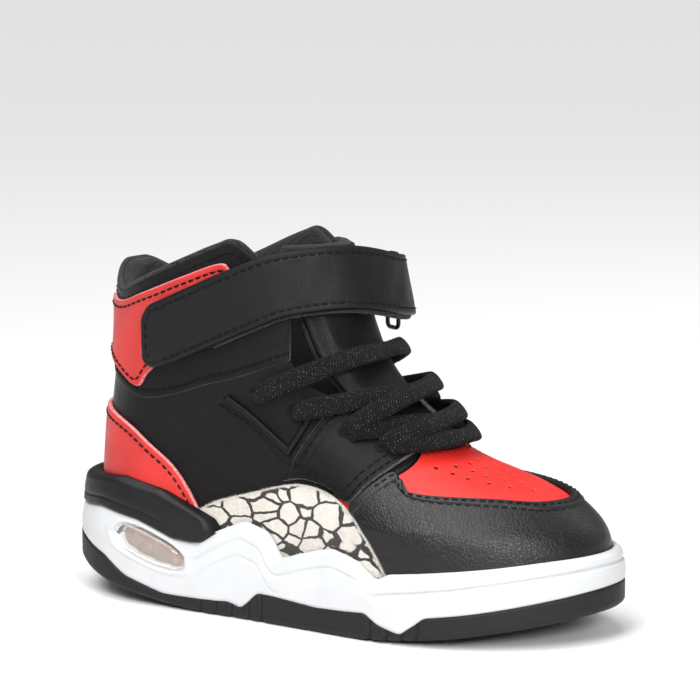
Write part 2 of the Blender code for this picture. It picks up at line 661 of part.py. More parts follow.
def make_materials():
    return {
        "black": material("black_leather", (0.028, 0.028, 0.031), 0.48),
        "red": material("red_leather", (0.80, 0.062, 0.045), 0.42),
        "suede": material("printed_suede", (0.62, 0.58, 0.53), 0.9),
        "white": material("white_foam_rubber", (0.78, 0.78, 0.79), 0.5),
        "rubber": material("black_rubber", (0.035, 0.035, 0.038), 0.65),
        "clear": material("clear_plastic", (0.75, 0.68, 0.63), 0.08, alpha=0.4),
        "lining": material("lining_mesh", (0.022, 0.022, 0.024), 0.9),
        "foam": material("collar_foam", (0.05, 0.05, 0.055), 0.95),
        "board": material("fibre_board", (0.55, 0.50, 0.42), 0.85),
        "lace": material("elastic_lace", (0.018, 0.018, 0.02), 0.8),
        "loop": material("loop_fabric", (0.02, 0.02, 0.022), 0.95),
        "metal": material("black_wire", (0.05, 0.05, 0.055), 0.35, metallic=0.8),
    }


def main():
    for obj in list(bpy.data.objects):
        bpy.data.objects.remove(obj, do_unlink=True)
    mats = make_materials()
    make_outsole(mats["rubber"])
    midsole = make_midsole(mats["white"])
    make_windows(midsole, mats["clear"])
    make_heel_block(mats["rubber"])
    footbed("insole_board", -1.2, 0.0, -2.0, mats["board"])
    footbed("sockliner", 0.4, 3.4, -5.0, mats["lining"])
    make_base_layer(mats)
    make_overlays(mats)
    make_back_stay(mats["black"])
    make_inner_layers(mats)
    make_tongue(mats)
    for index in range(len(EYELETS)):
        flat_tube(f"lace_row_{index + 1}", lace_route(index), LACE_WIDE, LACE_THICK, mats["lace"])
    make_strap(mats)


main()
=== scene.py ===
"""Looks of the basketball high top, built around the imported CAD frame.

The upper is the CAD's own analytic surface, repeated here: level t runs from the sole to above the
collar, and sigma goes round the foot (0 at the toe, +1 or -1 at the heel, positive on the outer
side). Each panel is a fine patch of it with rounded cut edges, grooves, stitches and grain.
Lengths are millimetres until a mesh is made.
"""

import math

import bpy
import numpy as np
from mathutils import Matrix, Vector


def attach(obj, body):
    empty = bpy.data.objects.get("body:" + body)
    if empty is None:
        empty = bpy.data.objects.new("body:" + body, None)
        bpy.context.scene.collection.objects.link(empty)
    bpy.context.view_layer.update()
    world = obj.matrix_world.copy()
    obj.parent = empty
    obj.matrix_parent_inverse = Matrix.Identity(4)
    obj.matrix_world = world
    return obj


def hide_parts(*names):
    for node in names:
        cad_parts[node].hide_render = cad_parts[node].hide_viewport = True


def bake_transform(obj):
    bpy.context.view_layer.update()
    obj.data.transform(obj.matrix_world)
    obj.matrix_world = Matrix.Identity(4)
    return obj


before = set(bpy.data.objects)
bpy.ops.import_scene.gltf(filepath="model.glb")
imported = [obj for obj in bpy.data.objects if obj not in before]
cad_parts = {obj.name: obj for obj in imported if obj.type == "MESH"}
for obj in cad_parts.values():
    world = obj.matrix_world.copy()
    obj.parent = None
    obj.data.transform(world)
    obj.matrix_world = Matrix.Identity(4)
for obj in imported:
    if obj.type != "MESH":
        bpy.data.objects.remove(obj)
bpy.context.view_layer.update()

MM = 0.001
rng = np.random.default_rng(7)

# ---------------------------------------------------------------- the CAD's surface

HALF = 192.0 / 2
# The upper's back and front in the side view, as (y, z) from the sole up
BACK = [(-83, 18), (-86.3, 34), (-85.5, 52), (-83, 75), (-81, 98), (-80.5, 117)]
FRONT = [
    (88, 14), (90, 24), (88, 32), (81, 39.5), (73, 44), (65, 47), (55, 50), (44, 54.5),
    (34, 61), (24, 71), (16, 80), (11, 90), (7, 101), (4, 112), (1, 123),
]
# The outsole wall's height above the ground line at each y
WALL = [
    (-96, 8), (-84, 9), (-72, 8.5), (-63, 5), (-48, 3.2), (-33, 4.4), (-22, 5), (-17.3, 3.5),
    (-10.6, 9.3), (-3, 9), (12, 7.8), (31, 8.4), (36, 5), (43.3, 2.2), (48.7, 5.5), (51, 7.2),
    (65, 7.2), (80, 7.4), (96, 7.6),
]
# The heights of the cup's and the heel block's top edges at each y
CUP_TOP = [
    (-96, 28.8), (-85, 29.2), (-75, 30.2), (-59, 27.7), (-44, 23), (-35, 22.5), (-28, 27),
    (-24.9, 28.3), (-18.3, 31), (-10.5, 28.7), (-6, 21.5), (-2.9, 21), (5, 23.5), (12.3, 25.5),
    (18, 26.5), (27.6, 24), (35, 18.8), (39.3, 21), (54.2, 22.6), (70.7, 24.4), (85, 26.2),
    (96, 27.0),
]
BLOCK_TOP = [
    (-96, 39), (-85, 39.5), (-75, 40.5), (-69, 40.8), (-51.3, 37.8), (-36.6, 32.2), (-28, 28.6),
]
# Half the forefoot's width at each z, and the length of the toe's rounding at each level
FORE_HALF = [
    (12, 33.8), (22, 35), (34, 34.3), (44, 31), (50, 29.5), (60, 27.5), (70, 26), (90, 24.5),
    (118, 24),
]
NOSE = [(0, 50), (0.12, 50), (0.3, 62), (0.5, 56), (0.7, 34), (1, 27)]
HEEL_ROUND = 30
LEVELS = 401
CURVE_STEPS = 24
ROUNDING = (-1.2, -0.6, 0, 0.6, 1.2)
NORMAL_STEP = 0.012
# A step in sigma and one in t, in proportion to their lengths on the shoe
STEP_SCALE = np.array([1, 0.7])
# The panels' lowest level, which is inside the cup
START = 0.03
# Each layer's inner and outer offsets from the surface
BASE, LINING, TOE_OVERLAY, STAY = (-1.2, 0.0), (-5.0, -4.1), (0.3, 1.8), (1.7, 3.2)
OVERLAY, COLLAR_LAYER, COLLAR_OVERLAY, WING = (0.15, 1.65), (-1.2, 0.55), (0.4, 1.9), (-0.2, 1.5)
TONGUE_PAD, TONGUE_FACE = (-6.8, -2.6), (-3.2, -1.6)


def smooth(points, count=LEVELS):
    """A Catmull-Rom curve through the points, with count points spaced evenly along it."""
    ends = np.array(points, float)
    ends = np.vstack([2 * ends[0] - ends[1], ends, 2 * ends[-1] - ends[-2]])
    u = np.linspace(0, 1, CURVE_STEPS, endpoint=False)[:, None]
    out = []
    for a, b, c, d in zip(ends, ends[1:], ends[2:], ends[3:]):
        square, cube = 2 * a - 5 * b + 4 * c - d, 3 * b - a - 3 * c + d
        out.append(0.5 * (2 * b + (c - a) * u + square * u**2 + cube * u**3))
    return resample(np.vstack(out + [ends[-2:-1]]), count)


def resample(points, count, scale=1.0):
    """The same line with count points spaced evenly along it."""
    step = np.linalg.norm(np.diff(points * scale, axis=0), axis=1)
    length = np.r_[0, np.cumsum(step)]
    even = np.linspace(0, length[-1], count)
    return np.stack([np.interp(even, length, column) for column in points.T], 1)


BACK_CURVE, FRONT_CURVE = smooth(BACK), smooth(FRONT)


def on_curve(curve, t):
    step = np.clip(t, 0, 1) * (LEVELS - 1)
    return np.stack([np.interp(step, range(LEVELS), column) for column in curve.T], -1)


def table(rows, x):
    return np.interp(x, [row[0] for row in rows], [row[1] for row in rows])


def soft_table(rows, x, width=0.9):
    """The table with its corners rounded over a width."""
    return sum(table(rows, x + width * k) for k in ROUNDING) / len(ROUNDING)


def round_end(q):
    """A quarter circle that rises from 0 to 1."""
    return np.sqrt(np.clip(1 - (1 - np.clip(q, 0, 1)) ** 2, 0, 1))


def ease(x, start, end):
    """A smooth step from 0 at the start to 1 at the end."""
    u = np.clip((x - start) / (end - start), 0, 1)
    return u * u * (3 - 2 * u)


def ridge(x, middle, width):
    """A smooth bump of height 1."""
    return np.exp(-(((x - middle) / width) ** 2))


def half_width(y, z, side):
    """Half the upper's width, blended from the heel through the waist to the forefoot."""
    medial = side < 0
    heel = 27.6 - 1.4 * ease(z, 30, 80) + 3.2 * ease(z, 85, 112)
    waist = 28.8 - 2.2 * ease(z, 25, 70) - 1.0 * medial
    front = ease(y, -10, 34)
    back = 1 - ease(y, -60, -20)
    fore = table(FORE_HALF, z) - medial
    return heel * back + (1 - back) * (waist * (1 - front) + fore * front)


def centre(y):
    """The middle line, which bends inwards at the toe."""
    return -4.0 * np.clip((y - 5) / 85, 0, 1) ** 2


def surface(sigma, t):
    sigma, t = np.broadcast_arrays(np.asarray(sigma, float), np.asarray(t, float))
    sigma = (sigma + 1) % 2 - 1
    back, front = on_curve(BACK_CURVE, t), on_curve(FRONT_CURVE, t)
    length = np.linalg.norm(back - front, axis=-1)
    u = (1 - np.cos(math.pi * np.abs(sigma))) / 2
    y, z = np.moveaxis(front + (back - front) * u[..., None], -1, 0)
    side = np.where(sigma < 0, -1.0, 1.0)
    ends = round_end(length * u / table(NOSE, t)), round_end(length * (1 - u) / HEEL_ROUND)
    x = side * half_width(y, z, side) * ends[0] * ends[1]
    return np.stack([x + centre(y), y, z], -1)


def upper_normal(sigma, t):
    sigma, t = np.broadcast_arrays(np.asarray(sigma, float), np.asarray(t, float))
    h = NORMAL_STEP
    along = surface(sigma + h, t) - surface(sigma - h, t)
    low, high = np.clip(t - h, 0, 1), np.clip(t + h, 0, 1)
    normal = np.cross(surface(sigma, high) - surface(sigma, low), along)
    return normal / np.linalg.norm(normal, axis=-1, keepdims=True)


def upper(sigma, t, off=0.0):
    return surface(sigma, t) + upper_normal(sigma, t) * np.asarray(off, float)[..., None]


def halve(low_side, shape, rounds):
    """The level at which low_side turns false, found by halving."""
    low, high = np.zeros(shape), np.ones(shape)
    for _ in range(rounds):
        t = (low + high) / 2
        lower = low_side(t)
        low, high = np.where(lower, t, low), np.where(lower, high, t)
    return t


def from_side(y, z):
    """(sigma, t) of a place in the side view."""
    y, z = np.asarray(y, float), np.asarray(z, float)

    def place(t):
        back = on_curve(BACK_CURVE, t)
        return on_curve(FRONT_CURVE, t) - back, y - back[..., 0], z - back[..., 1]

    def above(t):
        line, dy, dz = place(t)
        return line[..., 0] * dz - line[..., 1] * dy > 0

    t = halve(above, y.shape, 30)
    line, dy, dz = place(t)
    u = 1 - (dy * line[..., 0] + dz * line[..., 1]) / (line**2).sum(-1)
    return np.stack([np.arccos(1 - 2 * np.clip(u, 0, 1)) / math.pi, t], -1)


def spot(y, z):
    return from_side(np.array([float(y)]), np.array([float(z)]))[0]


def edge(points, count, side=1, back=None):
    """A panel edge drawn in the side view, as (sigma, t) points on one side of the shoe."""
    flat = from_side(*smooth(points, 240).T)
    if back is not None:
        flat = np.vstack([[back, flat[0, 1]], flat[flat[:, 0] < back - 0.01]])
    flat = resample(flat, count, STEP_SCALE)
    flat[:, 0] *= side
    return flat


def level(t, start, end, count):
    """A line round the upper at one level."""
    return np.stack([np.linspace(start, end, count), np.full(count, t)], 1)


# ---------------------------------------------------------------- material nodes
# A scale is in cells per metre, and a bump's height in metres.


class Shade:
    """A short way to write a Principled material's nodes."""

    def __init__(self, name, colour, roughness, **sockets):
        self.mat = bpy.data.materials.new(name)
        self.mat.use_nodes = True
        self.tree = self.mat.node_tree
        self.shader = self.tree.nodes["Principled BSDF"]
        self.shader.inputs["Base Color"].default_value = (*colour, 1)
        self.shader.inputs["Roughness"].default_value = roughness
        for socket, value in sockets.items():
            self.shader.inputs[socket.replace("_", " ")].default_value = value
        self.place = self.node("TexCoord").outputs["Object"]

    def node(self, kind, **settings):
        made = self.tree.nodes.new("ShaderNode" + kind)
        for key, value in settings.items():
            setattr(made, key, value)
        return made

    def link(self, source, target):
        self.tree.links.new(source, target)

    def math(self, operation, a, b=None, c=None):
        made = self.node("Math", operation=operation)
        for i, value in enumerate((a, b, c)):
            if value is None:
                continue
            if isinstance(value, (int, float)):
                made.inputs[i].default_value = value
            else:
                self.link(value, made.inputs[i])
        return made.outputs[0]

    def noise(self, scale, detail=3.0, rough=0.55, place=None):
        made = self.node("TexNoise")
        made.inputs["Scale"].default_value = scale
        made.inputs["Detail"].default_value = detail
        made.inputs["Roughness"].default_value = rough
        self.link(place or self.place, made.inputs["Vector"])
        return made.outputs["Fac"]

    def voronoi(self, scale, feature="DISTANCE_TO_EDGE", place=None, randomness=1.0):
        made = self.node("TexVoronoi", feature=feature)
        made.inputs["Scale"].default_value = scale
        made.inputs["Randomness"].default_value = randomness
        self.link(place or self.place, made.inputs["Vector"])
        return made.outputs["Distance"]

    def steps(self, value, low, high, a=0.0, b=1.0):
        made = self.node("MapRange")
        for i, number in enumerate((low, high, a, b)):
            made.inputs[i + 1].default_value = number
        self.link(value, made.inputs[0])
        return made.outputs[0]

    def mix(self, share, a, b):
        made = self.node("Mix", data_type="RGBA")
        self.link(share, made.inputs["Factor"])
        for socket, value in ((made.inputs[6], a), (made.inputs[7], b)):
            if isinstance(value, tuple):
                socket.default_value = (*value, 1)
            else:
                self.link(value, socket)
        return made.outputs[2]

    def attribute(self, name):
        return self.node("Attribute", attribute_name=name).outputs["Fac"]

    def warp(self, scale, amount):
        """The place moved about by noise, for lines that wander."""
        shift = self.node("TexNoise")
        shift.inputs["Scale"].default_value = scale
        shift.inputs["Detail"].default_value = 2.0
        self.link(self.place, shift.inputs["Vector"])
        add = self.node("VectorMath", operation="MULTIPLY_ADD")
        self.link(shift.outputs["Color"], add.inputs[0])
        add.inputs[1].default_value = (amount, amount, amount)
        self.link(self.place, add.inputs[2])
        return add.outputs[0]

    def colour(self, source):
        self.link(source, self.shader.inputs["Base Color"])

    def rough(self, source):
        self.link(source, self.shader.inputs["Roughness"])

    def bump(self, *heights):
        """Bumps one on another, each as (height, metres)."""
        last = None
        for height, distance in heights:
            made = self.node("Bump")
            made.inputs["Strength"].default_value = 1.0
            made.inputs["Distance"].default_value = distance
            self.link(height, made.inputs["Height"])
            if last is not None:
                self.link(last, made.inputs["Normal"])
            last = made.outputs["Normal"]
        self.link(last, self.shader.inputs["Normal"])


def scaled(colour, share):
    return tuple(min(1.0, channel * share) for channel in colour)


def leather(name, colour, roughness, edge_colour=None, **sockets):
    """Smooth coated leather: a tight cell grain, faint creases, and paler raw edges."""
    s = Shade(name, colour, roughness, **sockets)
    cells = s.steps(s.voronoi(2200.0), 0.0, 0.14)
    creases = s.noise(260.0, 4.0, 0.6)
    blotch = s.steps(s.noise(45.0, 2.0), 0.35, 0.7)
    tint = s.mix(blotch, scaled(colour, 0.86), scaled(colour, 1.12))
    if edge_colour:
        worn = s.steps(s.noise(1400.0, 3.0), 0.3, 0.55)
        rim = s.math("MULTIPLY", s.steps(s.attribute("rim"), 0.42, 0.08), worn)
        tint = s.mix(rim, tint, edge_colour)
    s.colour(tint)
    s.rough(s.steps(s.noise(120.0, 3.0), 0.3, 0.7, roughness - 0.05, roughness + 0.07))
    s.bump((cells, 0.00004), (creases, 0.00013))
    return s.mat


def strap_leather(name):
    """Matte leather with fine upright creases from bending round the ankle."""
    s = Shade(name, (0.0035, 0.0035, 0.0042), 0.42, Specular_IOR_Level=0.24)
    stretch = s.node("Mapping")
    stretch.inputs["Scale"].default_value = (1, 1, 0.14)
    s.link(s.place, stretch.inputs["Vector"])
    streaks = s.noise(900.0, 4.0, 0.7, place=stretch.outputs[0])
    cells = s.steps(s.voronoi(1700.0), 0.0, 0.14)
    s.rough(s.steps(streaks, 0.3, 0.7, 0.36, 0.52))
    s.bump((cells, 0.00003), (streaks, 0.00012), (s.noise(150.0, 3.0), 0.00012))
    return s.mat


def pebbled(name):
    """Tumbled leather: rounded pebbles of about a millimetre with soft creases between them."""
    s = Shade(name, (0.012, 0.012, 0.0135), 0.33, Specular_IOR_Level=0.45)
    place = s.warp(420.0, 0.0011)
    pebble = s.steps(s.voronoi(820.0, place=place), 0.0, 0.2)
    finer = s.steps(s.voronoi(1900.0, place=place), 0.0, 0.2)
    s.rough(s.steps(pebble, 0.0, 1.0, 0.45, 0.32))
    # The creases between the pebbles are painted darker than their tops: painted shade
    s.colour(s.mix(pebble, (0.0025, 0.0025, 0.003), (0.005, 0.005, 0.0057)))
    s.bump((pebble, 0.00005), (finer, 0.00002), (s.noise(160.0, 3.0), 0.00015))
    return s.mat


def suede(name):
    """Pale napped suede with a printed crackle of wandering black lines."""
    s = Shade(name, (0.6, 0.55, 0.5), 0.93, Sheen_Weight=0.35, Sheen_Roughness=0.5)
    s.shader.inputs["Sheen Tint"].default_value = (1, 0.96, 0.9, 1)
    nap = s.noise(900.0, 6.0, 0.75)
    blotch = s.noise(70.0, 4.0)
    base = s.mix(s.steps(blotch, 0.3, 0.72), (0.47, 0.43, 0.385), (0.66, 0.62, 0.57))
    base = s.mix(s.steps(nap, 0.35, 0.75), base, (0.72, 0.68, 0.63))
    place = s.warp(130.0, 0.0035)
    stretch = s.node("Mapping")
    stretch.inputs["Rotation"].default_value = (0.5, 0, 0)
    stretch.inputs["Scale"].default_value = (1, 0.8, 1.25)
    s.link(place, stretch.inputs["Vector"])
    cracks = s.voronoi(132.0, place=stretch.outputs[0])
    width = s.steps(s.noise(95.0, 2.0), 0.3, 0.7, 0.03, 0.07)
    line = s.math("SUBTRACT", s.math("ADD", cracks, s.math("MULTIPLY", nap, 0.03)), width)
    keep = s.steps(s.noise(60.0, 1.0), 0.27, 0.30)
    ink = s.math("MULTIPLY", s.steps(line, 0.034, 0.012), keep)
    inner = s.steps(s.attribute("rim"), 0.3, 0.9)
    s.colour(s.mix(s.math("MULTIPLY", ink, inner), base, (0.008, 0.008, 0.008)))
    s.bump((nap, 0.0004), (s.noise(3500.0, 3.0), 0.0002))
    return s.mat


def moulded(name, colour, roughness, grain=1500.0, depth=0.00003, dirt=0.0, **sockets):
    """Moulded rubber or foam: a fine satin texture with slight unevenness."""
    s = Shade(name, colour, roughness, **sockets)
    s.colour(s.mix(s.steps(s.noise(55.0, 3.0), 0.3, 0.7), scaled(colour, 0.94 - dirt), colour))
    s.rough(s.steps(s.noise(300.0, 3.0), 0.3, 0.7, roughness - 0.05, roughness + 0.06))
    s.bump((s.noise(grain, 3.0), depth), (s.noise(110.0, 2.0), 0.00012))
    return s.mat


def weave(name, colour, thread, depth=0.00018, sheen=0.12):
    """Knit mesh or brushed loop fabric, with the threads as small rounded cells."""
    s = Shade(
        name, colour, 0.88, Sheen_Weight=sheen, Sheen_Roughness=0.4, Specular_IOR_Level=0.2
    )
    cells = s.steps(s.voronoi(thread, randomness=0.35), 0.0, 0.3)
    # Each thread cell is painted lighter in its middle and darker at its edges: a painted highlight
    # on the threads and painted shade between them
    s.colour(s.mix(cells, scaled(colour, 0.35), scaled(colour, 1.5)))
    s.bump((cells, depth), (s.noise(4200.0, 4.0, 0.7), 0.00012))
    return s.mat


def braid(name):
    """Elastic braid: chevrons of short threads, read from the mesh's own u and v in millimetres."""
    plait, pitch, strand = 1.05, 0.95, 0.42
    s = Shade(
        name, (0.012, 0.012, 0.013), 0.72,
        Sheen_Weight=0.02, Sheen_Roughness=0.45, Specular_IOR_Level=0.2,
    )
    split = s.node("SeparateXYZ")
    s.link(s.node("UVMap", uv_map="UVMap").outputs["UV"], split.inputs[0])
    u, v = split.outputs[0], split.outputs[1]
    fold = s.math("MULTIPLY", s.math("PINGPONG", v, plait), 0.9)
    slant = s.math("SINE", s.math("MULTIPLY", s.math("ADD", u, fold), 2 * math.pi / pitch))
    cross = s.math("SINE", s.math("MULTIPLY", v, 2 * math.pi / strand))
    thread = s.math("MULTIPLY", s.steps(slant, -1, 1), s.steps(cross, -1, 0.2, 0.55, 1.0))
    flecks = s.steps(s.noise(2300.0, 2.0), 0.56, 0.62)
    glint = s.math("MULTIPLY", s.steps(thread, 0.75, 0.95), flecks)
    # The gaps between the threads are painted near-black as painted shade; the glint is a painted
    # highlight on the threads' crests
    tint = s.mix(thread, (0.0005, 0.0005, 0.0006), (0.006, 0.006, 0.0066))
    s.colour(s.mix(glint, tint, (0.16, 0.16, 0.165)))
    s.rough(s.steps(glint, 0, 1, 0.78, 0.35))
    s.bump((thread, 0.00035), (s.noise(5000.0, 3.0), 0.00008))
    return s.mat


def thread(name, colour):
    s = Shade(name, colour, 0.6, Specular_IOR_Level=0.2)
    s.bump((s.noise(6000.0, 2.0), 0.00005))
    s.colour(s.mix(s.noise(3000.0, 2.0), scaled(colour, 0.6), scaled(colour, 1.3)))
    return s.mat


def clear(name):
    s = Shade(name, (0.93, 0.9, 0.88), 0.06, Transmission_Weight=0.96, IOR=1.33, Coat_Weight=0.4)
    s.bump((s.noise(70.0, 2.0), 0.0003))
    s.rough(s.steps(s.noise(150.0, 2.0), 0.3, 0.8, 0.03, 0.14))
    return s.mat


def make_materials():
    black, worn = (0.0032, 0.0032, 0.0038), (0.16, 0.16, 0.17)
    pink, dull_pink = (0.85, 0.36, 0.36), (0.85, 0.38, 0.38)
    return {
        "black": leather("black_leather", black, 0.36, Specular_IOR_Level=0.2),
        "strap": strap_leather("strap_leather"),
        "raw": leather("raw_edged_leather", black, 0.4, edge_colour=worn, Specular_IOR_Level=0.2),
        "red": leather("red_leather", (0.78, 0.022, 0.016), 0.4, edge_colour=pink),
        "rose": leather("dull_red_leather", (0.60, 0.024, 0.02), 0.42, edge_colour=dull_pink),
        "pebble": pebbled("pebbled_leather"),
        "suede": suede("printed_suede"),
        "fray": thread("suede_fibre", (0.62, 0.58, 0.53)),
        "white": moulded(
            "white_midsole", (0.60, 0.60, 0.61), 0.42, dirt=0.02, Subsurface_Weight=0.04
        ),
        "rubber": moulded(
            "black_rubber", (0.007, 0.007, 0.0078), 0.6, 900.0, 0.00006, Specular_IOR_Level=0.35
        ),
        "block": moulded(
            "heel_rubber", (0.005, 0.005, 0.0058), 0.5, 1300.0, 0.00004, Specular_IOR_Level=0.35
        ),
        "clear": clear("clear_plastic"),
        "smoke": moulded("window_film", (0.33, 0.26, 0.23), 0.25),
        "mesh": weave("lining_mesh", (0.02, 0.02, 0.022), 1500.0),
        "sock": weave("sockliner_cloth", (0.035, 0.035, 0.038), 1100.0),
        "loop": weave("loop_fabric", (0.012, 0.012, 0.013), 1900.0, depth=0.0003, sheen=0.2),
        "lace": braid("elastic_lace"),
        "dark_thread": thread("black_thread", (0.0015, 0.0015, 0.0018)),
        "red_thread": thread("red_thread", (0.42, 0.02, 0.02)),
        "grey_thread": thread("grey_thread", (0.02, 0.02, 0.022)),
        "pale_thread": thread("pale_thread", (0.32, 0.32, 0.33)),
        "wire": moulded("black_wire", (0.02, 0.02, 0.021), 0.28, Metallic=0.6),
        # Near-black discs for the perforations and eyelets: painted shade for the holes' insides
        "hole": moulded("painted_hole_shade", (0.002, 0.002, 0.002), 0.95),
    }


# ---------------------------------------------------------------- mesh making


def mesh_object(name, points, quads, mat, uv=None, rim=None):
    """A smooth mesh from millimetre points and quads, with millimetre UVs and a rim distance."""
    mesh = bpy.data.meshes.new(name)
    points = np.asarray(points, float).reshape(-1, 3)
    quads = np.asarray(quads, int)
    mesh.vertices.add(len(points))
    mesh.vertices.foreach_set("co", (points * MM).ravel())
    mesh.loops.add(quads.size)
    mesh.loops.foreach_set("vertex_index", quads.ravel())
    mesh.polygons.add(len(quads))
    mesh.polygons.foreach_set("loop_start", np.arange(0, quads.size, quads.shape[1]))
    mesh.update(calc_edges=True)
    mesh.validate()
    mesh.shade_smooth()
    if uv is not None and len(mesh.loops) == quads.size:
        layer = mesh.uv_layers.new(name="UVMap")
        layer.data.foreach_set("uv", np.asarray(uv, float).reshape(-1, 2)[quads.ravel()].ravel())
    if rim is not None:
        layer = mesh.attributes.new("rim", "FLOAT", "POINT")
        layer.data.foreach_set("value", np.asarray(rim, np.float32).ravel())
    mesh.materials.append(mat)
    obj = bpy.data.objects.new(name, mesh)
    bpy.context.scene.collection.objects.link(obj)
    return obj


def grid_quads(rows, columns, start=0, flip=False, round_rows=False, round_columns=False):
    """Quads of a grid of points; in a round direction the last points join the first."""
    i, j = np.meshgrid(
        np.arange(rows - (not round_rows)), np.arange(columns - (not round_columns)), indexing="ij"
    )
    this, below, right = start + i * columns, start + (i + 1) % rows * columns, (j + 1) % columns
    quads = np.stack([this + j, this + right, below + right, below + j], -1).reshape(-1, 4)
    return quads[:, ::-1] if flip else quads


def slab(name, inner, outer, mat, rim=None, uv=None, turned=False):
    """Two grids of points joined round their rims into one closed sheet."""
    rows, columns = inner.shape[:2]
    size = rows * columns
    quads = [grid_quads(rows, columns, size, turned), grid_quads(rows, columns, 0, not turned)]
    index = np.arange(size).reshape(rows, columns)
    border = np.concatenate([index[0], index[1:, -1], index[-1, -2::-1], index[-2:0:-1, 0]])
    after = np.roll(border, -1)
    wall = np.stack([border, after, after + size, border + size], 1)
    quads.append(wall[:, ::-1] if turned else wall)
    both = None if rim is None else np.concatenate([np.zeros(size), rim.ravel()])
    uvs = None if uv is None else np.vstack([uv.reshape(-1, 2)] * 2)
    points = np.vstack([inner.reshape(-1, 3), outer.reshape(-1, 3)])
    return mesh_object(name, points, np.vstack(quads), mat, uvs, both)


def lengths(points, axis):
    """How far along an axis of the grid each point is."""
    step = np.linalg.norm(np.diff(points, axis=axis), axis=-1)
    zero = np.zeros_like(np.take(step, [0], axis=axis))
    return np.concatenate([zero, np.cumsum(step, axis=axis)], axis=axis)


def rim_distance(points):
    """How far each grid point is from the nearest edge of the grid."""
    down, across = lengths(points, 0), lengths(points, 1)
    return np.min([down, down[-1:] - down, across, across[:, -1:] - across], axis=0)


# A stitch's cross-sections: place along it, thickness and lift, as shares of length and radius
STITCH = [
    (-0.5, 0.35, -0.7), (-0.38, 0.9, -0.1), (-0.15, 1.0, 0.25), (0.15, 1.0, 0.25),
    (0.38, 0.9, -0.1), (0.5, 0.35, -0.7),
]
STITCH_SIDES, STITCH_RADIUS, STITCH_LENGTH, STITCH_PITCH = 6, 0.33, 2.1, 2.75


def unit(vectors):
    return vectors / np.linalg.norm(vectors, axis=-1, keepdims=True)


def stitches(name, lines, mat):
    """All the stitches of some lines as one piece: short rounded threads, evenly spaced."""
    points, quads = [], []
    turn = 2 * math.pi * np.arange(STITCH_SIDES) / STITCH_SIDES
    for line, outward in lines:
        run = lengths(line, 0)

        def take(where, rows):
            return np.array([np.interp(where, run, column) for column in rows.T])

        count = max(int(run[-1] / STITCH_PITCH), 1)
        for place in (np.arange(count) + 0.5) * run[-1] / count:
            middle, out = take(place, line), take(place, outward)
            along = unit(take(place + 0.3, line) - take(place - 0.3, line))
            out = unit(out - along * out.dot(along))
            across = np.cross(along, out)
            quads.append(grid_quads(len(STITCH), STITCH_SIDES, len(points), round_columns=True))
            for share, wide, lift in STITCH:
                for angle in turn:
                    offset = across * math.cos(angle) * wide + out * (math.sin(angle) * wide + lift)
                    points.append(middle + along * share * STITCH_LENGTH + offset * STITCH_RADIUS)
    return mesh_object(name, points, np.vstack(quads), mat)


class Patch:
    """A patch of the upper on a fine grid of (sigma, t), with rounded cut edges."""

    def __init__(self, grid, layer):
        self.grid, self.layer = grid, layer
        sigma, t = np.moveaxis(grid, -1, 0)
        self.flat, self.normal = surface(sigma, t), upper_normal(sigma, t)
        self.turned = grid[0, -1, 0] > grid[0, 0, 0]

    def build(self, name, mat, soft, grooves=(), extra=None):
        """The closed sheet. soft is its edges' rounding, and a groove is (inset, depth, width)."""
        inner, outer = self.layer
        rim = rim_distance(self.flat)
        height = inner + (outer - inner) * (0.45 + 0.55 * round_end(rim / soft))
        for inset, depth, width in grooves:
            height = height - depth * ridge(rim, inset, width)
        if extra is not None:
            height = height + extra(self, rim)
        uv = np.stack([lengths(self.flat, 1), lengths(self.flat, 0)], -1)
        sides = self.flat + self.normal * inner, self.flat + self.normal * height[..., None]
        return slab(name, *sides, mat, rim, uv, not self.turned)

    def line(self, side, inset, lift=0.0, trim=(0.0, 1.0)):
        """A line at an inset from one of the patch's sides, and the ways out of the upper."""
        axis = 0 if side in ("low", "high") else 1
        run = np.moveaxis(lengths(self.flat, axis), axis, 0)
        grid = np.moveaxis(self.grid, axis, 0)
        at = []
        for j in range(run.shape[1]):
            where = inset if side in ("low", "start") else run[-1, j] - inset
            at.append([np.interp(where, run[:, j], grid[:, j, k]) for k in (0, 1)])
        at = np.array(at)[int(trim[0] * len(at)):max(int(trim[1] * len(at)), 2)]
        return upper(at[:, 0], at[:, 1], self.layer[1] + lift), upper_normal(at[:, 0], at[:, 1])


def between(low, high, layer, rows, columns):
    """The patch between two edges, with its rows closer together near them."""
    low, high = (resample(side, columns, STEP_SCALE) for side in (low, high))
    share = np.linspace(0, 1, rows)[:, None, None]
    share = 0.5 * share + 0.5 * (1 - np.cos(math.pi * share)) / 2
    return Patch(low * (1 - share) + high * share, layer)


def finish_piece(obj, body="root", nodes=()):
    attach(obj, body)
    if nodes:
        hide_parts(*nodes)
    return obj


def add_panel(mats, name, patch, look, soft, body="root", **shape):
    """A panel that stands for the CAD node of the same name."""
    piece = patch.build(name, mats[look], soft, **shape)
    return finish_piece(piece, body, [name])


# ---------------------------------------------------------------- upper

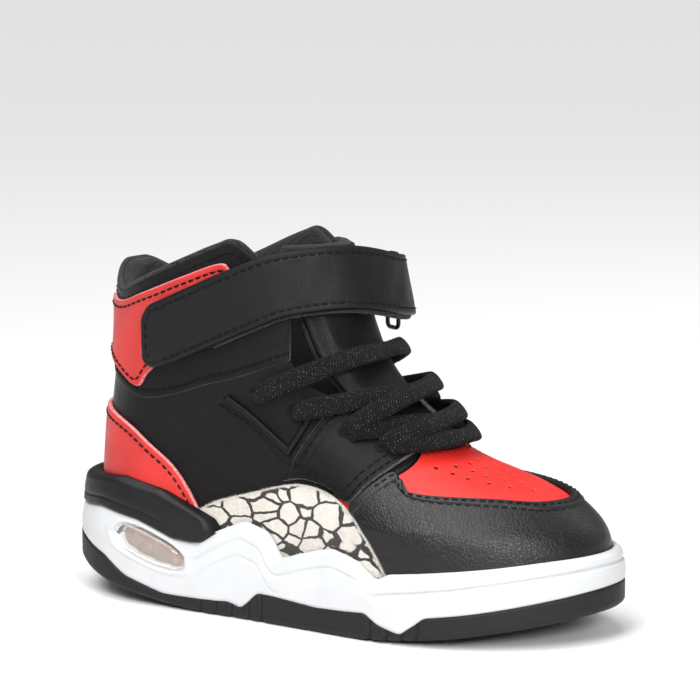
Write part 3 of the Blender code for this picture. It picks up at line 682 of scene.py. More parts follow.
THROAT = [(-5, 84), (0, 76.5), (9, 71.5), (20, 66), (30, 61), (35.5, 57)]
COLLAR_TOP = [
    (-80.2, 108), (-76, 103.5), (-69, 101), (-58, 105), (-42, 112), (-30, 117), (-23, 118.5),
    (-14, 112),
]
COLLAR_SEAM = [
    (-82.5, 77), (-72, 71.5), (-60, 67.8), (-48, 69.5), (-36, 73.5), (-22, 77.5), (-5, 84),
]
COLLAR_FRONT = [(-14, 112), (-9, 107), (-6.5, 100), (-5, 92)]
EYELETS = [(-14.8, 71.2), (-1.6, 66.9), (15.2, 60.8), (27.0, 56.2)]
BACK_SEAM = 0.985
VAMP_BACK = 0.64
SIDES = ((1, "lateral"), (-1, "medial"))
UP = np.array([0, 0, 1.0])
# Rows of perforations: level, half spread in sigma and number
HOLE_ROWS = [
    (0.285, 0.04, 2), (0.308, 0.085, 4), (0.333, 0.115, 5), (0.36, 0.14, 6), (0.387, 0.15, 6),
    (0.414, 0.165, 7),
]
# Panel edges in the side view
HEEL_EDGE = [(-86, 63), (-66, 58), (-54, 51), (-46, 45.5), (-39.4, 38), (-33.5, 28.5), (-30, 20.2)]
SUEDE_EDGE = [
    (-35.6, 33.0), (-28, 36.6), (-16, 40.2), (-5, 43.4), (4, 44.6), (14, 42.8), (22.8, 38),
    (30, 31), (37, 20.5), (38, 17.6),
]
EYESTAY_LOW = [
    (-4.0, 44.9), (4, 46.2), (14, 44.4), (21.5, 40.8), (26.5, 46.2), (32, 51.5), (36.2, 56),
]
EYESTAY_HIGH = [(-1, 50), (3, 58), (8, 66.2), (14, 68.5), (22, 64.8), (30, 60.6), (35, 57.6)]
OVERLAY_HIGH = [(-79.8, 98.5), (-69, 97.5), (-58, 101), (-42, 107.2), (-28, 112), (-24, 109.5)]
OVERLAY_LOW = [
    (-82.4, 79.8), (-70, 74.2), (-61, 70.2), (-56.5, 75), (-50, 79.5), (-38, 86), (-24.5, 106),
]
WING_LOW = [(-28, 68.5), (-16, 62), (-4, 53.4), (-1.2, 55), (4.5, 66.0)]
WING_HIGH = [(-26, 70.3), (-15, 64), (-4, 56.4), (-2.4, 57.4), (2.6, 67.6)]
WING_SEAM = [(-30, 67.0), (-17, 60.3), (-4.5, 50.8), (0.4, 53.2), (6.2, 64.5)]
TOE_EDGE = [
    (21.9, 40.0), (27.2, 45.6), (32.6, 49.8), (36, 45.6), (44, 44.0), (54, 43.4), (64, 42.8),
    (74, 41.6),
]
TOE_SIDE = [(22.9, 38.6), (30.6, 31), (37.6, 20.5), (38.8, 17.6)]


def wrinkles(size, depth):
    """Shallow uneven swelling, so that a leather panel isn't perfectly even."""
    def extra(patch, rim):
        _, y, z = np.moveaxis(patch.flat, -1, 0)
        across = np.sin(y / size + 1.7 * np.sin(z / size * 0.9))
        down = np.sin(z / size * 1.3 + 0.8 * np.sin(y / size))
        return depth * (across * down) * ease(rim, 0.5, 4.0)
    return extra


def make_quarters(mats, seams):
    for side, name in SIDES:
        top = np.vstack([edge(COLLAR_SEAM, 120, side, BACK_SEAM)[:-1], edge(THROAT, 60, side)])
        low = level(START, BACK_SEAM * side, (VAMP_BACK + 0.004) * side, len(top))
        patch = between(low, top, BASE, 110, 220)
        add_panel(mats, f"quarter_{name}", patch, "black", 0.5, extra=wrinkles(13.0, 0.12))
        seams["dark"] += [patch.line("end", 1.8), patch.line("end", 4.0)]

        seam = edge(COLLAR_SEAM, 160, side, BACK_SEAM) - [0, 0.012]
        rim = edge(COLLAR_TOP, 140, side, BACK_SEAM)
        rim = np.vstack([rim, edge(COLLAR_FRONT, 21, side)[1:]])
        patch = between(seam, rim, COLLAR_LAYER, 70, 200)
        add_panel(
            mats, f"collar_panel_{name}", patch, "raw", 0.7,
            grooves=((2.6, 0.12, 0.4),), extra=wrinkles(16.0, 0.25),
        )
        seams["dark"] += [patch.line("low", 2.6), patch.line("high", 3.4, trim=(0.02, 0.93))]


def make_vamp(mats, seams):
    """The red vamp, with perforations in rows that fan back from the toe."""
    end, top = spot(36.2, 56.0)
    low, high = level(START, VAMP_BACK, -VAMP_BACK, 60), level(top, end, -end, 60)
    patch = between(low, high, BASE, 170, 420)
    centres = []
    for row, spread, number in HOLE_ROWS:
        for place in np.linspace(-1, 1, number):
            centres.append(surface(spread * place, row - 0.018 * abs(place)))

    def pits(patch, rim):
        depth = np.zeros(rim.shape)
        for middle in centres:
            away = np.linalg.norm(patch.flat - middle, axis=-1)
            depth = np.maximum(depth, 1 - ease(away, 0.55, 0.85))
        return -0.9 * depth + wrinkles(12.0, 0.15)(patch, rim)

    add_panel(mats, "vamp", patch, "red", 0.5, extra=pits)
    seams["red"].append(patch.line("high", 2.6, trim=(0.05, 0.95)))
    # Each pit gets a near-black disc, darker than the lining behind it: painted shade for the
    # hole's inside
    flat, normal = patch.flat.reshape(-1, 3), patch.normal.reshape(-1, 3)
    discs = []
    for middle in centres:
        out = normal[np.linalg.norm(flat - middle, axis=1).argmin()]
        discs.append(disc(middle - out * 0.3, out, 0.6, 0.6, 12))
    add_discs("vamp_perforations", discs, mats["hole"])


def cross_ways(out):
    """Two directions along the upper, the first one level."""
    first = unit(np.cross(out, UP))
    return first, np.cross(out, first)


def disc(middle, out, wide, high, count):
    """A disc's middle and the points round it."""
    first, second = cross_ways(out)
    angles = np.linspace(0, 2 * math.pi, count, endpoint=False)
    around = [first * math.cos(a) * wide + second * math.sin(a) * high for a in angles]
    return np.array([middle] + [middle + spoke for spoke in around])


def add_discs(name, discs, mat):
    count = len(discs[0]) - 1
    k = np.arange(count)
    fan = np.stack([np.zeros(count, int), 1 + k, 1 + (k + 1) % count], 1)
    quads = [fan + number * (count + 1) for number in range(len(discs))]
    finish_piece(mesh_object(name, np.vstack(discs), np.vstack(quads), mat))


def make_overlays(mats, seams):
    for side, name in SIDES:
        top = edge(HEEL_EDGE, 120, side, BACK_SEAM)
        low = level(START, BACK_SEAM * side, top[-1, 0], 120)
        patch = between(low, top, OVERLAY, 90, 170)
        add_panel(
            mats, f"heel_overlay_{name}", patch, "rose", 0.6,
            grooves=((2.4, 0.14, 0.4),), extra=wrinkles(14.0, 0.2),
        )
        seams["dark"].append(patch.line("high", 2.4, trim=(0.03, 0.97)))

        top = edge(SUEDE_EDGE, 140, side)
        low = level(START, spot(-29.4, 19.0)[0] * side, top[-1, 0], 140)
        patch = between(low, top, OVERLAY, 90, 200)
        add_panel(mats, f"side_panel_{name}", patch, "suede", 0.7, extra=nap)
        add_fray(f"suede_fray_{name}", patch, mats["fray"], ("high", "start"), 520, 1.15)

        low, high = edge(EYESTAY_LOW, 100, side), edge(EYESTAY_HIGH, 100, side)
        patch = between(low, high, OVERLAY, 80, 140)
        add_panel(
            mats, f"eyestay_{name}", patch, "raw", 0.6,
            grooves=((1.9, 0.12, 0.35), (4.6, 0.12, 0.35)), extra=wrinkles(9.0, 0.12),
        )
        add_fray(f"eyestay_fray_{name}", patch, mats["pale_thread"], ("low", "high"), 330, 0.55)
        seams["dark"] += [patch.line("low", inset, trim=(0.03, 0.97)) for inset in (1.9, 4.6)]
        seams["dark"].append(patch.line("high", 2.2, trim=(0.05, 0.95)))

        high = edge(OVERLAY_HIGH, 130, side, BACK_SEAM)
        low = edge(OVERLAY_LOW, 130, side, BACK_SEAM)
        patch = between(low, high, COLLAR_OVERLAY, 60, 190)
        add_panel(
            mats, f"collar_overlay_{name}", patch, "rose", 0.6,
            grooves=((2.3, 0.14, 0.4),), extra=wrinkles(15.0, 0.2),
        )
        seams["dark"] += [patch.line(part, 2.3, trim=(0.02, 0.97)) for part in ("high", "low")]

        patch = between(edge(WING_LOW, 110, side), edge(WING_HIGH, 110, side), WING, 16, 160)
        add_panel(mats, f"lace_wing_{name}", patch, "black", 1.6)
        under = edge(WING_SEAM, 110, side).T
        seams["dark"].append((upper(*under, 0.05), upper_normal(*under)))


def nap(_, rim):
    """The suede's uneven surface, rougher at its cut edge."""
    coarse = 0.14 * rng.standard_normal(rim.shape) * (rim < 1.2)
    return coarse + 0.03 * rng.standard_normal(rim.shape)


def add_fray(name, patch, mat, sides, number, longest):
    """Short loose fibres along the cut edges of a panel, each a thin three-sided spike."""
    points, quads = [], []
    for side_name in sides:
        line, out = patch.line(side_name, 0.35, lift=-0.35)
        away = unit(line - patch.line(side_name, 1.4, lift=-0.35)[0])
        for _ in range(number):
            k = rng.integers(1, len(line) - 1)
            share = rng.random()
            root = line[k] * share + line[k - 1] * (1 - share)
            along = np.cross(out[k], away[k])
            way = away[k] * rng.uniform(0.5, 1) + along * rng.uniform(-0.9, 0.9)
            way = unit(way + out[k] * rng.uniform(-0.1, 0.9))
            tip = root + way * (rng.uniform(0.3, 1.0) * longest)
            across = unit(np.cross(way, out[k])) * 0.045
            ways = np.array([-across, across, out[k] * 0.05])
            quads.append(grid_quads(2, 3, len(points), round_columns=True))
            points += [*(root + ways), *(tip + ways * 0.3)]
    finish_piece(mesh_object(name, points, np.vstack(quads), mat))


def both_halves(half):
    """A line from the outer side to the toe, carried on to the inner side."""
    return np.vstack([half, (half * [-1, 1])[::-1][1:]])


def make_toe_cap(mats, seams):
    lateral = edge(TOE_EDGE, 120, 1)
    front_t = spot(79.0, 41.0)[1]
    high = both_halves(np.vstack([lateral, [[0.06, (lateral[-1, 1] + front_t) / 2], [0, front_t]]]))
    kernel = np.exp(-3 * np.linspace(-1, 1, 9) ** 2)
    kernel /= kernel.sum()
    longer = np.vstack([np.repeat(high[:1], 4, 0), high, np.repeat(high[-1:], 4, 0)])
    high = np.stack([np.convolve(column, kernel, "valid") for column in longer.T], 1)
    side = edge(TOE_SIDE, 40, 1)
    low = both_halves(np.vstack([side, level(START, side[-1, 0], 0, 90)[1:]]))
    patch = between(low, high, TOE_OVERLAY, 120, 420)

    def band(patch, _):
        """The folded band along the toe cap's upper edge."""
        down = lengths(patch.flat, 0)
        from_top = down[-1:] - down
        return 0.55 * (1 - ease(from_top, 3.3, 3.9)) * round_end(from_top / 0.8)

    add_panel(mats, "toe_cap", patch, "pebble", 0.8, extra=band)
    seams["dark"].append(patch.line("high", 1.9, lift=0.5, trim=(0.08, 0.92)))
    seams["glint"].append(patch.line("high", 3.75, lift=0.15, trim=(0.1, 0.9)))


def make_back_stay(mats, seams):
    t = np.linspace(0.3, 0.895, 120)
    left, right = (np.stack([np.full(120, sigma), t], 1) for sigma in (0.972, 1.028))
    patch = between(left, right, STAY, 30, 160)
    add_panel(mats, "back_stay", patch, "black", 0.7, grooves=((1.7, 0.1, 0.35),))
    seams["dark"] += [patch.line("low", 1.7), patch.line("high", 1.7)]


def make_eyelets(mats):
    """Stitched eyelet rims, oval rings of thread, and a near-black disc inside each: painted shade
    for the hole.
    """
    wide, high, around, section = 1.25, 0.8, 28, 8
    points, quads, holes = [], [], []
    for side, _ in SIDES:
        for index, (y, z) in enumerate(EYELETS):
            sigma, t = spot(y, z)
            off = OVERLAY[1] if index > 1 else 0.1
            middle, out = upper(sigma * side, t, off), upper_normal(sigma * side, t)
            first, second = cross_ways(out)
            quads.append(grid_quads(around, section, len(points), False, True, True))
            for k in range(around):
                angle = 2 * math.pi * k / around
                spoke = first * math.cos(angle) * wide + second * math.sin(angle) * high
                for m in range(section):
                    turn = 2 * math.pi * m / section
                    lift = out * (0.4 * math.sin(turn) + 0.1)
                    points.append(middle + spoke * (2.1 + 0.45 * math.cos(turn)) + lift)
            # A near-black disc over each hole, hiding the lace's end: painted shade for the
            # eyelet's inside
            holes.append(disc(middle + out * 0.12, out, 2 * wide, 2 * high, 20))
    rims = mesh_object("eyelet_rims", points, np.vstack(quads), mats["dark_thread"])
    finish_piece(rims)
    add_discs("eyelet_holes", holes, mats["hole"])


# ---------------------------------------------------------------- collar, tongue, footbed

# The roll's cross-section: offset from the upper and drop from the topline
COLLAR_SECTION = [
    (-1.3, -30.0), (-1.25, -15.0), (-1.2, -3.0), (-1.15, -1.6), (-1.1, -0.6), (-1.5, 0.2),
    (-2.6, 0.6), (-3.9, 0.3), (-5.2, -0.8), (-5.9, -3.2), (-6.2, -8.0), (-6.0, -16.0),
    (-5.4, -24.0), (-4.6, -30.0),
]
LEVEL_HEIGHT = 105
TONGUE_HALF = [(0, 0.2), (0.35, 0.22), (0.7, 0.24), (0.86, 0.28), (0.95, 0.275), (1, 0.22)]
# The sockliner's rings: inset, and the underside's and the top's heights above the floor
SOCK_RINGS = [
    (0.0, 1.0, 2.4), (0.03, 0.7, 3.5), (0.08, 0.5, 3.4), (0.2, 0.4, 3.1), (0.45, 0.4, 3.1),
    (0.8, 0.4, 3.2), (0.995, 0.4, 3.2),
]


def steps_from_end(count):
    return np.minimum(np.arange(count), np.arange(count)[::-1])


def make_collar(mats):
    """The padded collar: foam under lining mesh, rolled over the topline."""
    half = edge(COLLAR_TOP, 170, 1, 0.995)
    loop = np.vstack([half[::-1], half * [-1, 1] + [2, 0]])
    near_end = ease(steps_from_end(len(loop)), 0, 10)
    points = []
    for off, drop in smooth(COLLAR_SECTION, 60):
        drop = drop * (0.35 + 0.65 * near_end) if drop < -3 else drop
        points.append(upper(loop[:, 0], loop[:, 1] + drop / LEVEL_HEIGHT, off))
    quads = grid_quads(len(points), len(loop), round_rows=True)
    roll = mesh_object("collar_roll", points, quads, mats["mesh"])
    finish_piece(roll, nodes=["collar_foam"])

    share = (loop[:, 0] - loop[0, 0]) / (loop[-1, 0] - loop[0, 0])
    low = np.stack([0.43 + 1.14 * share, np.full(len(loop), START)], 1)
    lining = between(low, loop - [0, 0.02], LINING, 60, 360)
    add_panel(mats, "quarter_lining", lining, "mesh", 0.4)

    line = upper(loop[:, 0], loop[:, 1] - 0.002, -0.5)
    tangent = unit(np.gradient(line, axis=0))
    upward = unit(UP - tangent * tangent[:, 2:])
    across = np.cross(tangent, upward)
    size = 0.9 * round_end((steps_from_end(len(line)) + 0.15) / 3.0)
    add_tube("topline_binding", line, across, upward * 1.5, size, mats["loop"])


def add_tube(name, line, across, upward, size, mat, nodes=()):
    """A cord along a line, from the two ways across it and its radius at each point."""
    sides = 12
    angle = np.linspace(0, 2 * math.pi, sides, endpoint=False)[None, :, None]
    ring = across[:, None] * np.cos(angle) + upward[:, None] * np.sin(angle)
    points = line[:, None] + ring * size[:, None, None]
    quads = grid_quads(len(line), sides, round_columns=True)
    finish_piece(mesh_object(name, points, quads, mat), nodes=nodes)


def tongue_patch(layer, base, top, trim):
    share = np.linspace(0, 1, 120)
    half = soft_table(TONGUE_HALF, share, 0.03) - trim
    sigma = half[:, None] * np.linspace(1, -1, 90)[None]
    t = np.repeat((base + (top - base) * share)[:, None], 90, 1)
    return Patch(np.stack([sigma, t], -1), layer)


def make_tongue(mats, seams):
    base = spot(35.0, 57.0)[1]
    pad = tongue_patch(TONGUE_PAD, base + 0.02, 0.972, 0.0)
    piece = pad.build("tongue_pad", mats["mesh"], 2.6, extra=lambda _, rim: 0.9 * ease(rim, 0, 5))
    finish_piece(piece, "tongue", ["tongue_foam", "tongue_lining"])
    face = tongue_patch(TONGUE_FACE, base + 0.005, 0.962, 0.012)
    swell = lambda _, rim: 0.9 * ease(rim, 1.0, 8)
    add_panel(mats, "tongue_face", face, "black", 1.2, "tongue", extra=swell)
    seams["tongue"].append(face.line("high", 2.4, lift=0.3, trim=(0.06, 0.94)))


def floor_height(y):
    """The height of the upper's lowest level, on which the footbed lies."""
    (y0, z0), (y1, z1) = BACK[0], FRONT[0]
    return z0 + (z1 - z0) * (y - y0) / (y1 - y0)


def make_footbed(mats):
    """The sockliner: a soft moulded insole that curls up a little at its edge."""
    sigma = np.linspace(-1, 1, 161)[:-1]
    rim = upper(sigma, 0.02, -5.0)
    middle = rim * [0, 0.98, 1] + [-1.0, 0, 0]
    under, over = [], []
    for inset, *heights in SOCK_RINGS:
        x, y, _ = (rim * (1 - inset) + middle * inset).T
        for rows, height in zip((under, over), heights):
            rows.append(np.stack([x, y, floor_height(y) + height], 1))
    quads = grid_quads(2 * len(SOCK_RINGS), len(sigma), round_columns=True)
    piece = mesh_object("sockliner", under[::-1] + over, quads, mats["sock"])
    finish_piece(piece, nodes=["sockliner"])


# ---------------------------------------------------------------- laces

LACE_WIDE, LACE_THICK, LACE_SIDES = 6.6, 3.1, 28
# Each strand: its eyelets on the outer and inner sides, its crest in the side view and its lift
STRANDS = (
    ("lace_row_1", 0, 0, (13.0, 83.0), 0.0), ("lace_row_2", 1, 2, (25.5, 69.5), -0.6),
    ("lace_cross_2", 2, 1, (26.0, 69.0), 2.8), ("lace_row_3", 2, 3, (36.0, 60.2), -0.6),
    ("lace_cross_3", 3, 2, (38.0, 59.4), 3.0), ("lace_row_4", 3, 3, (46.0, 55.0), 0.3),
)


def lace_strand(first, second, crest, lift):
    """A strand from an eyelet on the outer side over the tongue to one on the inner side."""
    (s1, t1), (s2, t2) = spot(*EYELETS[first]), spot(*EYELETS[second])
    rise = spot(*crest)[1] - (t1 + t2) / 2
    points = []
    for q in np.linspace(-1, 1, 90):
        share = (q + 1) / 2
        span, end_t = s1 * (1 - share) + s2 * share, t1 * (1 - share) + t2 * share
        height = 3.2 + (lift + 1.6) * (1 - q * q)
        sink = ease(abs(q), 0.965, 1.0)
        height = height * (1 - sink) - 1.4 * sink
        points.append(upper(-span * q, end_t + rise * (1 - abs(q) ** 2.2), height))
    return np.array(points)


def make_laces(mats):
    """The elastic lace's strands: flat bands with round edges that narrow at the eyelets."""
    angle = np.linspace(0, 2 * math.pi, LACE_SIDES + 1)
    flat = np.sign(np.sin(angle)) * np.abs(np.sin(angle)) ** 0.8 * LACE_THICK / 2
    wide = np.cos(angle) * LACE_WIDE / 2
    for name, first, second, crest, lift in STRANDS:
        line = resample(lace_strand(first, second, crest, lift), 150)
        tangent = unit(np.gradient(line, axis=0))
        x = line[:, 0]
        outward = np.stack([x * 1.4, 6 + 0.3 * np.abs(x), np.full(len(line), 12.0)], 1)
        across = unit(np.cross(tangent, outward))
        outward = np.cross(across, tangent)
        run = lengths(line, 0)
        narrow = 0.62 + 0.38 * round_end(np.minimum(run, run[-1] - run) / 4.0)
        narrow = narrow * (1 + 0.018 * np.sin(run / 0.95 * 2 * math.pi))
        points = line[:, None] + across[:, None] * (wide[None] * narrow[:, None])[..., None]
        points = points + outward[:, None] * flat[None, :, None]
        around = angle * (LACE_WIDE + LACE_THICK) / 4
        uv = np.stack(np.broadcast_arrays(run[:, None], around[None]), -1)
        quads = grid_quads(len(line), LACE_SIDES + 1)
        piece = mesh_object(name, points, quads, mats["lace"], uv)
        finish_piece(piece, nodes=[name] if "row" in name else ())


# ---------------------------------------------------------------- strap

STRAP_WIDE = 20.0
STRAP_PATH = [
    (-27.5, 6.5, 101.6), (-22.5, 11.4, 102.7), (-12, 14.2, 104.2), (0, 14.0, 106.7),
    (11, 10.6, 108.3), (20.5, 3.0, 108.0), (28.2, -8, 105.8), (32.2, -20, 100.8),
    (34.0, -34, 94.6), (34.0, -46, 89.5), (33.4, -54.5, 86.8),
]
STRAP_STEPS = 320
STRAP_LINE = smooth(STRAP_PATH, STRAP_STEPS + 1)
STRAP_LENGTH = float(lengths(STRAP_LINE, 0)[-1])
# The wire ring's front bar, the way from it to the back bar, and the ring's size
RING_AXIS = (-29.6, 3.6)
RING_WAY = unit(np.array([-0.45, -0.9, 0]))
RING_MIDDLE, RING_REACH, RING_HALF_HIGH, RING_CORNER, WIRE = 99.3, 6.4, 12.2, 1.7, 0.72
TIP_RADIUS, TIP_SLANT = 6.0, 0.34
SEAM_INSET, SEAM_LIFT = 2.1, 0.72
SLEEVE_MIDDLE, SLEEVE_HALF_HIGH, SLEEVE_RADII = 101.6, 9.6, (1.0, 2.1)


def strap_frame(at):
    """Points of the strap's middle line at shares of its length, with the ways out and up."""
    at = np.asarray(at, float) * STRAP_STEPS

    def take(where):
        inside = np.clip(where, 0, STRAP_STEPS)
        steps = range(STRAP_STEPS + 1)
        points = np.stack([np.interp(inside, steps, column) for column in STRAP_LINE.T], -1)
        return points + (where - inside)[..., None] * (STRAP_LINE[-1] - STRAP_LINE[-2])

    points = take(at)
    along = unit(take(at + 4) - take(at - 4))
    y = points[..., 1]
    forwards = -0.24 * np.clip((y + 20) / 34, 0, 1)
    lean = np.stack([0.07 * ease(-y, 5, 30), forwards, np.ones(y.shape)], -1)
    up = unit(lean - along * (lean * along).sum(-1, keepdims=True))
    return points, np.cross(up, along), up


def strap_grid(start, end, inner, outer, wide, columns, tip=False, drop=0.0, wave=0.0):
    """A band of the strap: inner and outer points, distance to its edge and millimetre UVs."""
    length = (end - start) * STRAP_LENGTH
    share = np.linspace(0, 1, columns)
    if tip:
        share = 1 - (1 - share) ** 1.25
    to_end = (1 - share) * length
    half = np.full(columns, wide / 2)
    if tip:
        curve = np.clip((TIP_RADIUS - to_end) / TIP_RADIUS, 0, 1)
        half = half - TIP_RADIUS * (1 - np.sqrt(1 - curve**2)) * 0.98
    v = np.linspace(-1, 1, 60)
    across = (np.sign(v) * np.abs(v) ** 0.75)[:, None] * half[None]
    at = start + share[None] * (end - start)
    if tip:
        slant = TIP_SLANT * across * ease(share[None] * length, length - 26, length)
        at = at - slant / STRAP_LENGTH
    points, out, up = strap_frame(np.broadcast_to(at, across.shape))
    flat = points + up * (across - drop)[..., None]
    rim = np.minimum(half[None] - np.abs(across), to_end[None] if tip else np.inf)
    thick = (outer - inner) * (0.4 + 0.6 * round_end(rim / 0.9))
    run = share[None] * length
    if wave:
        ripple = np.sin(run / 1.9 + 1.3 * np.sin(across / 5)) * np.sin(run / 13)
        thick = thick + wave * ripple * ease(rim, 2.5, 5)
    uv = np.stack(np.broadcast_arrays(run, across), -1)
    return flat + out * inner, flat + out * (inner + thick)[..., None], rim, uv


def ring_outline(steps):
    """A rectangle's outline with round corners, as (across, up)."""
    points = []
    for sx, sz, first in ((1, 1, 0), (-1, 1, 90), (-1, -1, 180), (1, -1, 270)):
        for angle in np.radians(first + np.linspace(0, 90, steps)):
            across = sx * (RING_REACH / 2 - RING_CORNER) + RING_CORNER * math.cos(angle)
            upward = sz * (RING_HALF_HIGH - RING_CORNER) + RING_CORNER * math.sin(angle)
            points.append((across, upward))
    return points


def strap_seam(start, end):
    """The border stitch line: the lower edge, the upper edge and round the tip."""
    half = STRAP_WIDE / 2 - SEAM_INSET
    share = np.linspace(start, end - (SEAM_INSET + 4) / STRAP_LENGTH, 160)
    v = np.linspace(-1, 1, 40) * (half - 1.2)
    bend = 2.4 * (np.abs(v) / v.max()) ** 6
    tip = end - (SEAM_INSET + bend + TIP_SLANT * v) / STRAP_LENGTH
    lines = []
    for at, across in ((share, -half), (share, half), (tip, v[:, None])):
        points, out, up = strap_frame(at)
        lines.append((points + up * across + out * SEAM_LIFT, out))
    return lines


def make_strap(mats):
    inner, outer, rim, uv = strap_grid(0.0, 1.0, -0.8, 0.8, STRAP_WIDE, 420, tip=True, wave=0.1)
    shares = np.broadcast_to(np.linspace(0, 1, inner.shape[1])[None], rim.shape)
    outer = outer - strap_frame(shares)[1] * (0.13 * ridge(rim, SEAM_INSET, 0.4))[..., None]
    band = slab("strap_band", inner, outer, mats["strap"], rim, uv)
    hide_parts("strap_front", "strap_tip")
    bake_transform(band)
    threads = stitches("strap_stitches", strap_seam(0.03, 1.0), mats["dark_thread"])
    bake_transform(threads)

    # The loop fabric under the band, and the hook patch under its tip
    inner, outer, rim, uv = strap_grid(0.06, 0.80, -2.6, -1.0, STRAP_WIDE - 0.4, 300, drop=1.2)
    outer = outer + 0.16 * rng.standard_normal(rim.shape)[..., None] * np.array([0.7, 0.5, 0.5])
    base = slab("strap_base", inner, outer, mats["loop"], rim, uv)
    finish_piece(base, "root", ["strap_base"])
    inner, outer, rim, uv = strap_grid(0.83, 0.975, -2.0, -0.95, STRAP_WIDE - 6, 80)
    outer = outer + 0.12 * rng.standard_normal(rim.shape)[..., None]
    patch = slab("hook_patch", inner, outer, mats["loop"], rim, uv)
    finish_piece(patch, "strap_tip", ["hook_patch"])

    bar = np.array([*RING_AXIS, RING_MIDDLE])
    ring = [bar + RING_WAY * (u + RING_REACH / 2) + UP * w for u, w in ring_outline(12)]
    ring = resample(np.array(ring + ring[:1]), 220)
    across = np.broadcast_to(np.cross(RING_WAY, UP), ring.shape)
    upward = np.cross(across, unit(np.gradient(ring, axis=0)))
    size = np.full(len(ring), WIRE)
    add_tube("strap_ring", ring, across, upward, size, mats["wire"], ["strap_ring"])

    # The sleeve: the end of the strap folded round the ring's front bar
    angles = np.linspace(-0.5 * math.pi, 1.5 * math.pi, 40)[:, None]
    around = RING_WAY * np.cos(angles) + np.cross(RING_WAY, UP) * np.sin(angles)
    middle = np.array([*RING_AXIS, SLEEVE_MIDDLE])
    heights = np.linspace(-SLEEVE_HALF_HIGH, SLEEVE_HALF_HIGH, 30)[:, None, None]
    sides = [middle + around * radius + UP * heights for radius in SLEEVE_RADII]
    finish_piece(slab("strap_sleeve", *sides, mats["strap"]), "strap_front")


# ---------------------------------------------------------------- sole

GROOVE = [(33, 14.2), (36.7, 15.0), (60, 18.2), (78, 21.2), (96, 24.0)]
SIPES = (-33, -27, -21, -14, -9, 33, 39, 44, 49)
# Half the sole's width on each side at each y
OUTER_HALF = [(-96, 33.5), (-60, 33.5), (-20, 33.8), (10, 36.6), (35, 39.6), (60, 39.0), (96, 36)]
INNER_HALF = [(-96, 33.5), (-60, 33.2), (-20, 32.6), (10, 35.6), (40, 38.8), (65, 38.8), (96, 37)]
# The inset that brings the sole's rows almost to its middle line
MIDDLE_INSET = 36.9
# The outsole's rows from the middle of its underside to its edge, as (inset, height)
TREAD = [
    (MIDDLE_INSET, 0.0), (20, 0.0), (4.2, 0.0), (2.6, 0.05), (1.3, 0.25), (0.45, 0.8), (0.05, 1.6),
]
# How far the cup's wall and the heel block's are inset at each share of their height
CUP_WALL = [(0, 0.55), (0.05, 0.2), (0.4, 0.1), (0.8, 0.7), (0.93, 1.1), (1.0, 1.9)]
BLOCK_WALL = [
    (0, 1.3), (0.04, 0.75), (0.5, 1.15), (0.8, 1.7), (0.9, 2.2), (0.96, 3.0), (1.0, 4.2),
]
BLOCK_FRONT = -29.0
WINDOW = [
    (-68, 22.8), (-64.5, 25.8), (-59, 25.8), (-52, 23.8), (-45.5, 21.4), (-40.3, 18.2),
    (-39.6, 14.2), (-43, 12.6), (-51, 13.4), (-59, 15.8), (-65.5, 18.8),
]
WINDOW_MIDDLE = np.mean(WINDOW, axis=0)


def ground(y):
    """How far the sole's underside curls up at the toe and the heel."""
    toe = 10 * np.clip((y - 20) / 76, 0, 1) ** 1.8
    heel = 13 * np.clip((-25 - y) / 71, 0, 1) ** 1.9
    return toe + heel


def outline(sigma, inset):
    """The sole's side at each sigma moved inwards by an inset, and the y that it had."""
    u = (1 - np.cos(math.pi * np.abs(sigma))) / 2
    y = HALF * (1 - 2 * u)
    x = np.where(sigma >= 0, table(OUTER_HALF, y), -table(INNER_HALF, y))
    x = x * round_end((y + HALF) / 36) * round_end((HALF - y) / 57)
    return x * (1 - inset / 37) + centre(y), y * (1 - inset / HALF), y


def sole_row(sigma, inset, z):
    x, y, _ = outline(sigma, inset)
    return np.stack([x, y, z], 1)


def upper_at_height(sigma, z, off):
    """Points outside the upper at each sigma and height."""
    t = halve(lambda t: surface(sigma, t)[..., 2] < z, sigma.shape, 24)
    point = upper(sigma, t, off)
    point[..., 2] = z
    return point


def ring_mesh(name, rows, mat, closed_section=True, loop=True):
    """Rows of points round the shoe; each row is one place of the cross-section."""
    quads = grid_quads(len(rows), len(rows[0]), 0, False, closed_section, loop)
    return mesh_object(name, rows, quads, mat)


def round_sigma(count):
    """Places round the sole, evenly spaced along its outline."""
    dense = np.linspace(-1, 1, 4001)
    run = lengths(sole_row(dense, 0, np.zeros(len(dense))), 0)
    return np.interp(np.linspace(0, run[-1], count, endpoint=False), run, dense)


def make_outsole(mats):
    sigma = round_sigma(900)
    along = outline(sigma, 0)[2]
    floor, wall = ground(along), soft_table(WALL, along)
    cuts = sum(ridge(along, y, 0.6) for y in SIPES)
    rows = []
    for inset, z in TREAD:
        inset = inset + 1.1 * cuts * (inset < 3)
        rows.append(sole_row(sigma, inset, ground(outline(sigma, inset)[1]) + z))
    for share in np.linspace(0.08, 1, 14):
        inset = 0.05 + 0.9 * cuts + 0.25 * (share > 0.98)
        rows.append(sole_row(sigma, inset, floor + 1.6 + (wall - 1.6) * share))
    for inset, limit in ((1.0, 22.4), (2.2, 22.4), (MIDDLE_INSET, 2.4)):
        top = np.minimum(floor + wall, ground(outline(sigma, inset)[1]) + limit)
        rows.append(sole_row(sigma, inset, top))
    piece = ring_mesh("outsole", rows, mats["rubber"], closed_section=False)
    finish_piece(piece, nodes=["outsole"])


